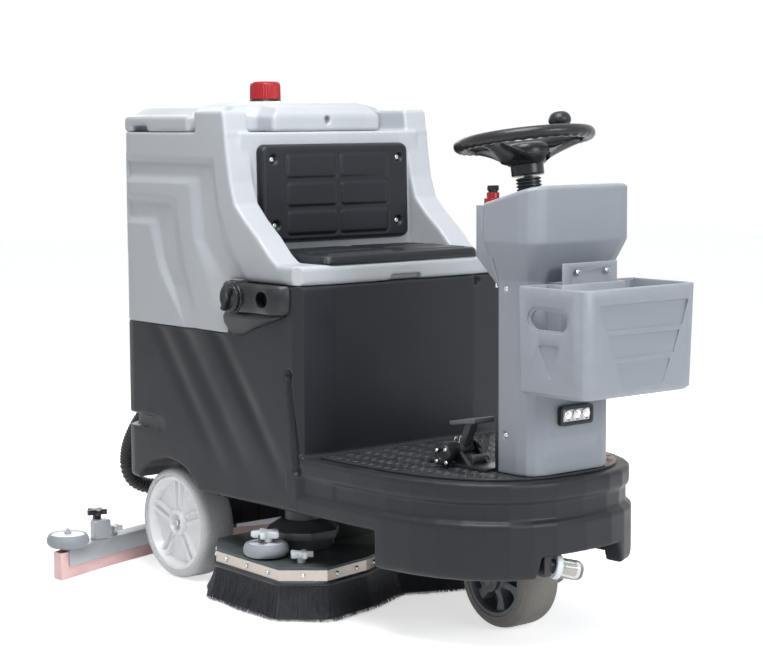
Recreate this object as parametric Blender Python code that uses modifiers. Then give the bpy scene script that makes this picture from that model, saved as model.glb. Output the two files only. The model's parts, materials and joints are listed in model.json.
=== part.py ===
"""Ride-on floor scrubber, built from separate sub-parts.

Units are metres, +Z is up.  The machine faces -Y and its left side is +X.  The origin lies on the floor
under the middle of the machine's length.  Stations along the machine are given as distances ahead of the
front wheel's axle; ahead() turns one into a Y value.
"""
import math

import bmesh
import bpy
from mathutils import Matrix, Vector

# ---------------------------------------------------------------- driving dimensions
GAP = 0.0003                    # clearance between pieces that touch

BODY_HALF = 0.345               # half width of the body
BODY_REAR = -1.19               # station of the body's rear face
BODY_CORNER = 0.06              # plan radius of the rear corners
BODY_TOP = 0.692                # top of the rear body, under the recovery tank
SKIRT_Z = 0.262                 # lower edge of the body's side skirt
SEAT_FRONT = -0.384             # station of the seat base's front face
SEAT_BACK = -0.690              # station where the seat base meets the tank
SEAT_BASE_TOP = 0.829           # top of the seat base
DECK_TOP = 0.402                # top of the step deck
NOSE = 0.262                    # station of the bumper's foremost point
NOSE_RUN = 0.462                # length over which the deck narrows to the nose
NOSE_POWER = 2.6                # exponent of the nose's plan curve
BUMPER_Z = 0.172                # lower edge of the bumper
BUMPER_STEP = -0.112            # station where the skirt steps down to the bumper
GROOVE_LOW, GROOVE_HIGH = 0.310, 0.352
GROOVE_DEPTH = 0.014

REAR_WHEEL_STATION = -0.98
REAR_WHEEL_R = 0.150
REAR_WHEEL_WIDTH = 0.100
REAR_WHEEL_FACE = 0.324         # outer face of a rear wheel from the centre line
FRONT_WHEEL_R = 0.123
FRONT_WHEEL_WIDTH = 0.115
AXLE_R = 0.012
WHEEL_STEPS = 24                # facets round a tyre and its rim

COLUMN_FOOT_HALF, COLUMN_HEAD_HALF = 0.139, 0.170
COLUMN_FOOT_FRONT, COLUMN_HEAD_FRONT = 0.216, 0.250
COLUMN_FOOT_REAR, COLUMN_HEAD_REAR = 0.104, 0.083
COLUMN_TAPER_LOW, COLUMN_TAPER_HIGH = 0.865, 0.955
COLUMN_TOP_FRONT, COLUMN_TOP_REAR = 1.088, 1.046
BACK_TOP, BACK_REAR = 1.036, -0.030     # top and rear station of the black back cover
COLUMN_WALL = 0.006
COLUMN_EDGE = 0.006             # chamfer round the column's top

STEER_TILT = math.radians(9.0)  # steering axis leans back
STEER_STATION, STEER_Z = 0.053, 1.150
STEER_WHEEL_R = 0.170
STEER_RIM_R = 0.0135
STEER_SHAFT_R = 0.010
SPINNER_ANGLE = math.radians(10.0)        # where the spinner knob stands on the rim, from the left side

BASKET_REAR, BASKET_FRONT = 0.268, 0.430
BASKET_LOW, BASKET_HIGH = 0.612, 0.860
BASKET_HALF = 0.196
BASKET_FACE_HALF = 0.160
BASKET_WALL = 0.010

TANK_LOW = BODY_TOP + GAP
TANK_TOP = 1.206
TANK_WALL = 0.012
WING_THICK = 0.078
LID_RISE = 0.070                # height of the lid over the tank
LID_TOP = TANK_TOP + LID_RISE
WING_RISE = 0.056               # the side wings stand this far over the tank
RIB_DROP, RIB_PITCH, RIB_HIGH = 0.064, 0.076, 0.022     # grooves round the rear of the tank
SEAT_RIM_TOP = 0.879
PAD_HALF = 0.262

BRUSH_R = 0.190
BRUSH_STATION = -0.575
BRUSH_OFFSET = BRUSH_R + 0.005  # the two brushes pass each other at the middle
DECK_PLATE_LOW, DECK_PLATE_TOP = 0.102, 0.133
GUIDE_STATION = -0.560          # front face of the frame's slides for the brush deck

SQUEEGEE_HALF = 0.575
SQUEEGEE_TIP, SQUEEGEE_MIDDLE = -1.142, -1.318
BEAM_WIDTH, BEAM_LOW, BEAM_HIGH = 0.050, 0.034, 0.080
BLADE_THICK = 0.004

# The origin is midway between the basket's front and the back of the squeegee.
FRONT_AXLE_Y = (BASKET_FRONT + SQUEEGEE_MIDDLE - BEAM_WIDTH) / 2

ARM_HALF = 0.058                # half width of the squeegee's lift arm
LIFT_STATION, LIFT_Z, LIFT_PIN_R = -1.085, 0.215, 0.008

HOSE_R = 0.0235

CHARCOAL = (0.055, 0.060, 0.070)
LIGHT_GREY = (0.50, 0.52, 0.52)
MID_GREY = (0.33, 0.35, 0.37)
BLACK = (0.018, 0.018, 0.020)
PAD_BLACK = (0.020, 0.023, 0.030)
STEEL = (0.55, 0.56, 0.58)
TYRE_GREY = (0.34, 0.34, 0.33)
RIM_SILVER = (0.78, 0.79, 0.80)


def ahead(station):
    """Y of a point that lies this far ahead of the front axle."""
    return FRONT_AXLE_Y - station


# ---------------------------------------------------------------- scene, collections and materials
for old in list(bpy.data.objects):
    bpy.data.objects.remove(old, do_unlink=True)
PARTS = bpy.data.collections.new("ride_on_scrubber")
CUTTERS = bpy.data.collections.new("cutters")
bpy.context.scene.collection.children.link(PARTS)
bpy.context.scene.collection.children.link(CUTTERS)


def material(name, colour, roughness=0.5, metallic=0.0, alpha=1.0):
    made = bpy.data.materials.new(name)
    made.use_nodes = True
    shader = made.node_tree.nodes["Principled BSDF"]
    shader.inputs["Base Color"].default_value = (*colour, 1.0)
    shader.inputs["Roughness"].default_value = roughness
    shader.inputs["Metallic"].default_value = metallic
    shader.inputs["Alpha"].default_value = alpha
    return made


# ---------------------------------------------------------------- modelling helpers
def wrap(mesh):
    """A helper shape, kept with the cutters until finish_part names it."""
    obj = bpy.data.objects.new("shape", mesh)
    CUTTERS.objects.link(obj)
    obj.hide_render = True
    obj.display_type = "WIRE"
    return obj


def from_bmesh(bm, matrix=None):
    if matrix is not None:
        bm.transform(matrix)
    mesh = bpy.data.meshes.new("shape")
    bm.to_mesh(mesh)
    bm.free()
    return wrap(mesh)


def box(low, high):
    """A block between two opposite corners."""
    low, high = (Vector(pick(pair) for pair in zip(low, high)) for pick in (min, max))
    bm = bmesh.new()
    bmesh.ops.create_cube(bm, size=1.0)
    bmesh.ops.scale(bm, verts=bm.verts, vec=high - low)
    bmesh.ops.translate(bm, verts=bm.verts, vec=(high + low) / 2)
    return from_bmesh(bm)


def turn_from_z(axis):
    """Rotation that carries +Z onto the given axis."""
    return Vector((0, 0, 1)).rotation_difference(Vector(axis)).to_matrix().to_4x4()


def rod(start, end, radius, sides=20, end_radius=None):
    """A cylinder or cone between two points."""
    start, end = Vector(start), Vector(end)
    along = end - start
    bm = bmesh.new()
    bmesh.ops.create_cone(bm, cap_ends=True, segments=sides, radius1=radius,
                          radius2=radius if end_radius is None else end_radius, depth=along.length)
    place = Matrix.Translation((start + end) / 2) @ turn_from_z(along.normalized())
    return from_bmesh(bm, place)


def turned(profile, centre=(0, 0, 0), axis=(0, 0, 1), steps=24):
    """A turned shape: (radius, height) pairs down the outer side, spun about the axis."""
    bm = bmesh.new()
    ring = [bm.verts.new((radius, 0, height)) for radius, height in profile]
    for first, second in zip(ring, ring[1:]):
        bm.edges.new((first, second))
    if profile[0][0] > 0 and profile[-1][0] > 0:
        bm.edges.new((ring[-1], ring[0]))
    obj = from_bmesh(bm)
    screw = obj.modifiers.new("turn", "SCREW")
    screw.steps = steps
    screw.render_steps = steps
    screw.use_merge_vertices = True
    screw.merge_threshold = 0.00005
    solid = baked(obj)
    solid.data.transform(Matrix.Translation(Vector(centre)) @ turn_from_z(axis))
    return solid


def baked(obj):
    """The object's evaluated shape as a plain mesh; the original is removed."""
    bpy.context.view_layer.update()
    evaluated = obj.evaluated_get(bpy.context.evaluated_depsgraph_get())
    mesh = bpy.data.meshes.new_from_object(evaluated)
    mesh.transform(obj.matrix_world)
    bpy.data.objects.remove(obj, do_unlink=True)
    bm = bmesh.new()
    bm.from_mesh(mesh)
    bmesh.ops.remove_doubles(bm, verts=bm.verts, dist=0.00002)
    bmesh.ops.dissolve_limit(bm, angle_limit=0.002, verts=bm.verts, edges=bm.edges)
    bm.to_mesh(mesh)
    bm.free()
    return wrap(mesh)


PLANES = {
    "XY": Matrix.Identity(4),
    "YZ": Matrix(((0, 0, 1, 0), (1, 0, 0, 0), (0, 1, 0, 0), (0, 0, 0, 1))),
    "XZ": Matrix(((1, 0, 0, 0), (0, 0, -1, 0), (0, 1, 0, 0), (0, 0, 0, 1))),
}


def slab(outline, low, high, plane="XY"):
    """A flat outline in a plane, extruded between two distances along that plane's normal.

    The normal is +Z for XY, +X for YZ and -Y for XZ."""
    low, high = sorted((low, high))
    curve = bpy.data.curves.new("shape", "CURVE")
    curve.dimensions = "2D"
    curve.fill_mode = "BOTH"
    curve.extrude = (high - low) / 2
    spline = curve.splines.new("POLY")
    spline.points.add(len(outline) - 1)
    for point, (u, v) in zip(spline.points, outline):
        point.co = (u, v, 0, 1)
    spline.use_cyclic_u = True
    obj = bpy.data.objects.new("shape", curve)
    CUTTERS.objects.link(obj)
    obj.matrix_world = PLANES[plane] @ Matrix.Translation((0, 0, (low + high) / 2))
    return baked(obj)


def pipe(points, radius, resolution=3):
    """A round tube through the points, with closed ends."""
    curve = bpy.data.curves.new("shape", "CURVE")
    curve.dimensions = "3D"
    curve.bevel_depth = radius
    curve.bevel_resolution = resolution
    curve.use_fill_caps = True
    spline = curve.splines.new("POLY")
    spline.points.add(len(points) - 1)
    for point, place in zip(spline.points, points):
        point.co = (*place, 1)
    obj = bpy.data.objects.new("shape", curve)
    CUTTERS.objects.link(obj)
    return baked(obj)


def loft(sections):
    """A closed skin through sections that have the same number of points."""
    bm = bmesh.new()
    rings = [[bm.verts.new(point) for point in section] for section in sections]
    count = len(rings[0])
    for lower, upper in zip(rings, rings[1:]):
        for i in range(count):
            j = (i + 1) % count
            bm.faces.new((lower[i], lower[j], upper[j], upper[i]))
    bm.faces.new(list(reversed(rings[0])))
    bm.faces.new(rings[-1])
    bmesh.ops.recalc_face_normals(bm, faces=bm.faces)
    return from_bmesh(bm)


def boolean(target, tool, operation):
    modifier = target.modifiers.new(operation.lower(), "BOOLEAN")
    modifier.operation = operation
    modifier.solver = "EXACT"
    modifier.object = tool
    return target


def cut(target, *tools):
    for tool in tools:
        boolean(target, tool, "DIFFERENCE")
    return target


def join(target, *tools):
    for tool in tools:
        boolean(target, tool, "UNION")
    return target


def bevel(obj, width, segments=2, angle=30):
    modifier = obj.modifiers.new("bevel", "BEVEL")
    modifier.width = width
    modifier.segments = segments
    modifier.limit_method = "ANGLE"
    modifier.angle_limit = math.radians(angle)
    modifier.use_clamp_overlap = True
    return obj


def mirrored(points):
    """An outline given for +X, closed by its mirror image."""
    return list(points) + [(-x, y) for x, y in reversed(points) if x > 0.0001]


def arc(centre, radius, start, end, count):
    """Points on a circular arc, angles in degrees."""
    spread = [math.radians(start + (end - start) * i / count) for i in range(count + 1)]
    return [(centre[0] + radius * math.cos(a), centre[1] + radius * math.sin(a)) for a in spread]


def rounded(half_u, half_v, radius, centre=(0, 0), count=4):
    """A rectangle with round corners."""
    u, v = half_u - radius, half_v - radius
    corners = ((u, v, 0), (-u, v, 90), (-u, -v, 180), (u, -v, 270))
    return [point for cu, cv, turn in corners
            for point in arc((centre[0] + cu, centre[1] + cv), radius, turn, turn + 90, count)]


def finish_part(obj, name, look, origin=None):
    """Names a sub-part, gives it its material and puts its origin on its axis."""
    for modifier in obj.modifiers:
        modifier.show_render = modifier.show_viewport
    CUTTERS.objects.unlink(obj)
    PARTS.objects.link(obj)
    obj.name = name
    obj.data.name = name
    obj.hide_render = False
    obj.display_type = "TEXTURED"
    obj.data.materials.clear()
    obj.data.materials.append(look)
    if origin is not None:
        obj.data.transform(Matrix.Translation(-Vector(origin)))
        obj.location = origin
    obj.data.shade_smooth()
    obj.data.set_sharp_from_angle(angle=math.radians(32))
    return obj


# ---------------------------------------------------------------- shared looks
CHARCOAL_PLASTIC = material("charcoal_plastic", CHARCOAL, 0.55)
LIGHT_PLASTIC = material("light_plastic", LIGHT_GREY, 0.5)
MID_PLASTIC = material("mid_plastic", MID_GREY, 0.5)
BLACK_PLASTIC = material("black_plastic", BLACK, 0.45)
PAD_FOAM = material("pad_foam", PAD_BLACK, 0.6)
BLACK_RUBBER = material("black_rubber", BLACK, 0.8)
MAT_RUBBER = material("mat_rubber", (0.03, 0.035, 0.04), 0.5)
TYRE_RUBBER = material("tyre_rubber", TYRE_GREY, 0.8)
DARK_TYRE = material("dark_tyre", (0.16, 0.15, 0.14), 0.8)
SILVER_RIM = material("silver_rim", RIM_SILVER, 0.35)
DARK_RIM = material("dark_rim", (0.14, 0.15, 0.16), 0.5)
FRAME_STEEL = material("frame_steel", (0.03, 0.03, 0.03), 0.5, 0.4)
BRIGHT_STEEL = material("bright_steel", STEEL, 0.3, 1.0)
CLEAR = material("clear_plastic", (0.85, 0.86, 0.86), 0.1, 0.0, 0.4)
RED_PLASTIC = material("red_plastic", (0.70, 0.02, 0.02), 0.3)
DECK_PAINT = material("deck_paint", (0.07, 0.10, 0.10), 0.5)
BRISTLE = material("bristle", (0.02, 0.02, 0.025), 0.9)
BRUSH_NYLON = material("brush_nylon", (0.10, 0.16, 0.30), 0.8)
WHITE_PLASTIC = material("white_plastic", (0.82, 0.83, 0.84), 0.4)
ROLLER_GREY = material("roller_grey", (0.42, 0.44, 0.45), 0.6)
BEAM_METAL = material("beam_metal", (0.52, 0.54, 0.56), 0.35, 0.8)
BLADE_RUBBER = material("blade_rubber", (0.85, 0.38, 0.26), 0.5)
BATTERY_CASE = material("battery_case", (0.04, 0.04, 0.05), 0.6)
MOTOR_GREY = material("motor_grey", (0.15, 0.155, 0.165), 0.5)


# ---------------------------------------------------------------- lower body
def nose_outline(inset, rear_station, count=9):
    """Plan of the step deck: straight sides, then a squared curve round the nose."""
    half = BODY_HALF - inset
    run = NOSE_RUN - inset
    start = NOSE - NOSE_RUN
    points = [(half, ahead(rear_station))]
    for i in range(count + 1):
        angle = math.pi / 2 * i / count
        x = half * math.cos(angle) ** (2 / NOSE_POWER) if i < count else 0.0
        forward = start + run * math.sin(angle) ** (2 / NOSE_POWER)
        points.append((x, ahead(forward)))
    return mirrored(points)


def rear_plan(inset, front_station):
    """Plan of the rear body, with round rear corners."""
    half = BODY_HALF - inset
    rear = ahead(BODY_REAR) - inset
    radius = BODY_CORNER
    right = [(half, ahead(front_station))]
    right += arc((half - radius, rear - radius), radius, 0, 90, 4)
    return mirrored(right)


UNDER_TOP = 0.375               # ceiling of the space under the body
WELL_HALF = 0.215               # half width of the front wheel's well
ARCH_R = REAR_WHEEL_R + 0.032   # round the rear wheel
WHEEL_INNER = REAR_WHEEL_FACE - REAR_WHEEL_WIDTH
BAY_HALF, BAY_FRONT, BAY_REAR, BAY_FLOOR = 0.280, -0.430, -0.820, 0.440
HINGE_R, PIN_R = 0.007, 0.004   # tank hinge barrel and its pin
HINGE_STATION, HINGE_Z = BODY_REAR - 0.004 - HINGE_R, BODY_TOP


def make_lower_body():
    seat_front = [(BODY_HALF, ahead(-0.400)), (0.234, ahead(SEAT_FRONT))]
    plan = [(x, y) for x, y in rear_plan(0.0, -0.400) if abs(y - ahead(-0.400)) > 0.001]
    body = slab(plan + [(-x, y) for x, y in seat_front] + list(reversed(seat_front)), SKIRT_Z, SEAT_BASE_TOP)
    bevel(body, 0.006, 1, 40)
    cut(body, box((-0.5, ahead(SEAT_BACK), BODY_TOP), (0.5, ahead(BODY_REAR - 0.1), 1.0)))
    bumper_low = bevel(slab(nose_outline(0.001, -0.420), BUMPER_Z, GROOVE_LOW), 0.012, 2)
    cut(bumper_low, box((-0.5, ahead(BUMPER_STEP), 0.1), (0.5, ahead(-0.5), SKIRT_Z + 0.001)))
    waist = slab(nose_outline(GROOVE_DEPTH, -0.424), GROOVE_LOW - 0.02, GROOVE_HIGH + 0.02)
    bumper_high = bevel(slab(nose_outline(0.006, -0.416), GROOVE_HIGH, DECK_TOP), 0.010, 2)
    join(waist, bumper_low, bumper_high)
    join(body, waist)
    for side in (-1, 1):
        arch_low, arch_high = sorted((side * (WHEEL_INNER - 0.012), side * (BODY_HALF + 0.05)))
        arch = rod((arch_low, ahead(REAR_WHEEL_STATION + 0.012), REAR_WHEEL_R),
                   (arch_high, ahead(REAR_WHEEL_STATION + 0.012), REAR_WHEEL_R), ARCH_R, 28)
        cut(body, arch)
    rear_bay = box((-WHEEL_INNER + 0.02, ahead(-0.86), 0.1), (WHEEL_INNER - 0.02, ahead(-1.15), UNDER_TOP))
    tunnel = box((-BODY_HALF + 0.016, ahead(-0.280), 0.1), (BODY_HALF - 0.016, ahead(-0.80), UNDER_TOP))
    link_bay = box((-0.16, ahead(-0.78), 0.1), (0.16, ahead(-0.90), UNDER_TOP))
    well = box((-WELL_HALF, ahead(0.185), 0.1), (WELL_HALF, ahead(-0.175), UNDER_TOP + 0.008))
    spine = box((-0.16, ahead(-0.15), 0.1), (0.16, ahead(-0.30), UNDER_TOP))
    battery_bay = box((-BAY_HALF, ahead(BAY_FRONT), BAY_FLOOR), (BAY_HALF, ahead(BAY_REAR), 1.0))
    gear_bay = box((-0.075, ahead(0.15), 0.28), (0.075, ahead(0.206), UNDER_TOP + 0.008))
    cut(body, rear_bay, tunnel, link_bay, well, spine, battery_bay, gear_bay)
    nose_cut = [(-0.150, BUMPER_Z - 0.02), (0.150, BUMPER_Z - 0.02), (0.128, 0.226), (-0.128, 0.226)]
    cut(body, slab(nose_cut, -ahead(0.10), -ahead(NOSE + 0.05), "XZ"))
    shaft_hole = rod(steer_point(0.36), steer_point(0.44), STEER_SHAFT_R + 0.006, 16)
    cut(body, shaft_hole)
    groove = slab([(ahead(-0.441), 0.612), (ahead(-0.413), 0.366), (ahead(-0.402), 0.366),
                   (ahead(-0.430), 0.612)], -BODY_HALF - 0.01, -BODY_HALF + 0.008, "YZ")
    top_key = rod((-BODY_HALF - 0.01, ahead(-0.4355), 0.606), (-BODY_HALF + 0.010, ahead(-0.4355), 0.606), 0.011, 14)
    low_key = rod((-BODY_HALF - 0.01, ahead(-0.4075), 0.370), (-BODY_HALF + 0.010, ahead(-0.4075), 0.370), 0.011, 14)
    cut(body, groove, top_key, low_key)
    band_low = slab(ring_cut(0.016), 0.405, 0.440)
    cut(body, band_low)
    return finish_part(body, "lower_body", CHARCOAL_PLASTIC)


def ring_cut(depth):
    """Outline that takes a groove of the given depth round the rear of the body."""
    inner_half = BODY_HALF - depth
    radius = BODY_CORNER
    rear = ahead(BODY_REAR) - depth
    inner = [(-BODY_HALF, ahead(-0.98))]
    inner += [(-x, y) for x, y in arc((inner_half - radius, rear - radius), radius, 0, 90, 4)]
    inner += [(x, y) for x, y in reversed(arc((inner_half - radius, rear - radius), radius, 0, 90, 4))]
    inner += [(BODY_HALF, ahead(-0.98))]
    return inner + [(BODY_HALF + 0.02, ahead(-0.98)), (BODY_HALF + 0.02, ahead(BODY_REAR) + 0.03),
                    (-BODY_HALF - 0.02, ahead(BODY_REAR) + 0.03), (-BODY_HALF - 0.02, ahead(-0.98))]


def steer_point(height, offset=0.0):
    """A point on the leaning steering axis at this height."""
    drop = (STEER_Z - height) * math.tan(STEER_TILT)
    return Vector((offset, ahead(STEER_STATION + drop), height))


STEER_AXIS = Vector((0, math.sin(STEER_TILT), math.cos(STEER_TILT)))


# ---------------------------------------------------------------- frame, axle and power
def make_frame():
    top = UNDER_TOP - GAP
    low = top - 0.040
    frame = box((-0.145, ahead(-0.215), low), (-0.105, ahead(-1.140), top))
    join(frame, box((0.105, ahead(-0.215), low), (0.145, ahead(-1.140), top)))
    for station in (-0.235, -0.860, -1.125):
        join(frame, box((-0.125, ahead(station + 0.015), low + 0.004), (0.125, ahead(station - 0.015), top - 0.004)))
    for side in (-1, 1):
        low_x, high_x = sorted((side * 0.140, side * 0.148))
        hanger = box((low_x, ahead(REAR_WHEEL_STATION + 0.04), REAR_WHEEL_R - 0.03),
                     (high_x, ahead(REAR_WHEEL_STATION - 0.04), top - 0.010))
        join(frame, hanger)
        join(frame, box((side * 0.1105, ahead(GUIDE_STATION), 0.205), (side * 0.140, ahead(GUIDE_STATION - 0.028), low + 0.01)))
        join(frame, box((side * 0.106, ahead(LIFT_STATION + 0.02), LIFT_Z - 0.02),
                        (side * 0.116, ahead(LIFT_STATION - 0.02), low + 0.01)))
    cut(frame, rod((-0.2, ahead(LIFT_STATION), LIFT_Z), (0.2, ahead(LIFT_STATION), LIFT_Z), LIFT_PIN_R + GAP, 14))
    cut(frame, rod((-0.2, ahead(REAR_WHEEL_STATION), REAR_WHEEL_R), (0.2, ahead(REAR_WHEEL_STATION), REAR_WHEEL_R),
                   AXLE_R + GAP, 16))
    return finish_part(frame, "frame", FRAME_STEEL)


def make_rear_axle():
    y = ahead(REAR_WHEEL_STATION)
    tip = REAR_WHEEL_FACE - 0.028
    axle = rod((-tip, y, REAR_WHEEL_R), (tip, y, REAR_WHEEL_R), AXLE_R, 16)
    return finish_part(axle, "rear_axle", BRIGHT_STEEL)


def make_battery():
    half = BAY_HALF - 0.006
    pack = box((-half, ahead(BAY_FRONT - 0.008), BAY_FLOOR + GAP), (half, ahead(BAY_REAR + 0.008), 0.655))
    bevel(pack, 0.004, 1)
    middle = ahead((BAY_FRONT + BAY_REAR) / 2)
    cut(pack, box((-0.004, ahead(BAY_FRONT) - 0.01, 0.50), (0.004, ahead(BAY_REAR) + 0.01, 0.70)))
    cut(pack, box((-half - 0.01, middle - 0.004, 0.50), (half + 0.01, middle + 0.004, 0.70)))
    for x in (-0.20, -0.07, 0.07, 0.20):
        for station in (-0.48, -0.77):
            join(pack, rod((x, ahead(station), 0.650), (x, ahead(station), 0.675), 0.010, 10))
    finish_part(pack, "battery_pack", BATTERY_CASE)


# ---------------------------------------------------------------- wheels
def make_rear_wheel(side, name):
    y = ahead(REAR_WHEEL_STATION)
    centre = (side * (REAR_WHEEL_FACE - REAR_WHEEL_WIDTH / 2), y, REAR_WHEEL_R)
    axis = (side, 0, 0)
    half = REAR_WHEEL_WIDTH / 2
    rim_r = REAR_WHEEL_R * 0.86
    tyre = turned([(rim_r, half - 0.002), (REAR_WHEEL_R - 0.007, half), (REAR_WHEEL_R, half - 0.008),
                   (REAR_WHEEL_R, -half + 0.008), (REAR_WHEEL_R - 0.007, -half), (rim_r, -half + 0.002)],
                  centre, axis, WHEEL_STEPS)
    finish_part(tyre, "rear_tyre_" + name, TYRE_RUBBER, centre)
    outer = rim_r - GAP
    profile = [(outer, half - 0.003), (outer, -half + 0.003), (outer - 0.008, -half + 0.003),
               (outer - 0.010, half - 0.040), (0.040, half - 0.045), (0.034, -half + 0.010),
               (AXLE_R + GAP, -half + 0.010), (AXLE_R + GAP, half - 0.030), (0.020, half - 0.026),
               (0.026, half - 0.006), (0.034, half - 0.008), (0.038, half - 0.020),
               (outer - 0.020, half - 0.028), (outer - 0.009, half - 0.003)]
    rim = turned(profile, centre, axis, WHEEL_STEPS)
    for i in range(5):
        for offset in (-0.011, 0.011):
            angle = 2 * math.pi * i / 5
            place = Matrix.Translation(centre) @ turn_from_z(axis) @ Matrix.Rotation(angle, 4, "Z")
            rib = box((0.036, offset - 0.004, half - 0.034), (outer - 0.014, offset + 0.004, half - 0.013))
            rib.data.transform(place)
            join(rim, rib)
    return finish_part(rim, "rear_rim_" + name, SILVER_RIM, centre)


def make_front_wheel():
    centre = (0, ahead(0), FRONT_WHEEL_R)
    half = FRONT_WHEEL_WIDTH / 2
    rim_r = FRONT_WHEEL_R - 0.030
    tyre = turned([(rim_r, half - 0.004), (FRONT_WHEEL_R - 0.012, half), (FRONT_WHEEL_R, half - 0.014),
                   (FRONT_WHEEL_R, -half + 0.014), (FRONT_WHEEL_R - 0.012, -half), (rim_r, -half + 0.004)],
                  centre, (-1, 0, 0), WHEEL_STEPS)
    finish_part(tyre, "front_tyre", DARK_TYRE, centre)
    outer = rim_r - GAP
    profile = [(outer, half - 0.005), (outer, -half + 0.005), (outer - 0.008, -half + 0.005),
               (outer - 0.010, -0.006), (0.036, -0.006), (0.030, -half + 0.001), (AXLE_R + GAP, -half + 0.001),
               (AXLE_R + GAP, half - 0.001), (0.026, half - 0.001), (0.032, half - 0.012),
               (outer - 0.016, half - 0.018), (outer - 0.008, half - 0.005)]
    rim = turned(profile, centre, (-1, 0, 0), WHEEL_STEPS)
    finish_part(rim, "front_rim", DARK_RIM, centre)


KING_R = 0.020
CROWN_LOW = 2 * FRONT_WHEEL_R + 0.012
CROWN_TOP = CROWN_LOW + 0.018
LEG_INNER = FRONT_WHEEL_WIDTH / 2 + 0.004
LEG_THICK = 0.012
GEARBOX_LOW = CROWN_TOP + 0.008


def make_fork():
    y = ahead(0)
    leg_outer = LEG_INNER + LEG_THICK
    fork = box((-leg_outer, y - 0.045, CROWN_LOW), (leg_outer, y + 0.045, CROWN_TOP))
    for side in (-1, 1):
        low_x, high_x = sorted((side * LEG_INNER, side * leg_outer))
        foot = [(y + 0.045, CROWN_TOP - 0.002), (y - 0.045, CROWN_TOP - 0.002)]
        foot += arc((y, FRONT_WHEEL_R), 0.030, 180, 360, 8)
        join(fork, slab(foot, low_x, high_x, "YZ"))
    join(fork, rod((0, y, CROWN_TOP - 0.004), (0, y, 0.350), KING_R, 20))
    join(fork, rod((-leg_outer - 0.004, y, FRONT_WHEEL_R), (leg_outer - 0.002, y, FRONT_WHEEL_R), AXLE_R, 16))
    finish_part(fork, "steering_fork", FRAME_STEEL, (0, y, 0.30))
    motor = turned([(0.0, 0.090), (0.030, 0.090), (0.042, 0.080), (0.042, 0.004), (0.036, 0.0), (0.0, 0.0)],
                   (leg_outer + GAP, y, FRONT_WHEEL_R), (1, 0, 0), 24)
    finish_part(motor, "drive_motor", MOTOR_GREY)


def make_gearbox():
    y = ahead(0)
    top = UNDER_TOP + 0.008 - GAP
    gearbox = box((-0.055, ahead(0.178), GEARBOX_LOW + 0.02), (0.055, ahead(-0.060), top))
    bevel(gearbox, 0.006, 1)
    join(gearbox, rod((0, y, GEARBOX_LOW), (0, y, GEARBOX_LOW + 0.03), 0.038, 24))
    cut(gearbox, rod((0, y, 0.2), (0, y, 0.352), KING_R + GAP, 20))
    cut(gearbox, rod(steer_point(0.345), steer_point(0.45), STEER_SHAFT_R + GAP, 16))
    finish_part(gearbox, "steering_gearbox", MOTOR_GREY)


# ---------------------------------------------------------------- column
def column_section(z_front, z_rear, half, front, rear, inset=0.0, open_rear=0.0):
    """Plan of the column at one height: square rear corners, chamfered front corners."""
    half -= inset
    front -= inset
    rear -= open_rear
    shoulder = front - 0.050

    def height(station):
        share = (station - rear) / (front - rear)
        return z_rear + (z_front - z_rear) * share

    plan = [(half, rear), (half, shoulder), (half - 0.006, front - 0.022), (half - 0.022, front - 0.006),
            (half - 0.045, front), (-half + 0.045, front), (-half + 0.022, front - 0.006),
            (-half + 0.006, front - 0.022), (-half, shoulder), (-half, rear)]
    return [(x, ahead(station), height(station)) for x, station in plan]


def column_loft(inset=0.0, open_rear=0.0, low=DECK_TOP + 0.0065, drop=0.0):
    foot = (COLUMN_FOOT_HALF, COLUMN_FOOT_FRONT, COLUMN_FOOT_REAR, inset, open_rear)
    head = (COLUMN_HEAD_HALF, COLUMN_HEAD_FRONT, COLUMN_HEAD_REAR, inset, open_rear)
    sections = [column_section(low, low, *foot),
                column_section(COLUMN_TAPER_LOW, COLUMN_TAPER_LOW, *foot),
                column_section(COLUMN_TAPER_HIGH, COLUMN_TAPER_HIGH, *head)]
    if inset == 0.0:
        edge = (COLUMN_HEAD_HALF, COLUMN_HEAD_FRONT, COLUMN_HEAD_REAR, COLUMN_EDGE, -COLUMN_EDGE)
        sections.append(column_section(COLUMN_TOP_FRONT - COLUMN_EDGE, COLUMN_TOP_REAR - COLUMN_EDGE, *head))
        sections.append(column_section(COLUMN_TOP_FRONT, COLUMN_TOP_REAR, *edge))
    else:
        sections.append(column_section(COLUMN_TOP_FRONT - drop, COLUMN_TOP_REAR - drop, *head))
    return loft(sections)


HEADLIGHT_Z, HEADLIGHT_HALF, HEADLIGHT_TALL = 0.546, 0.054, 0.023
MAT_THICK = 0.006
BOOT_R = 0.031


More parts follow.
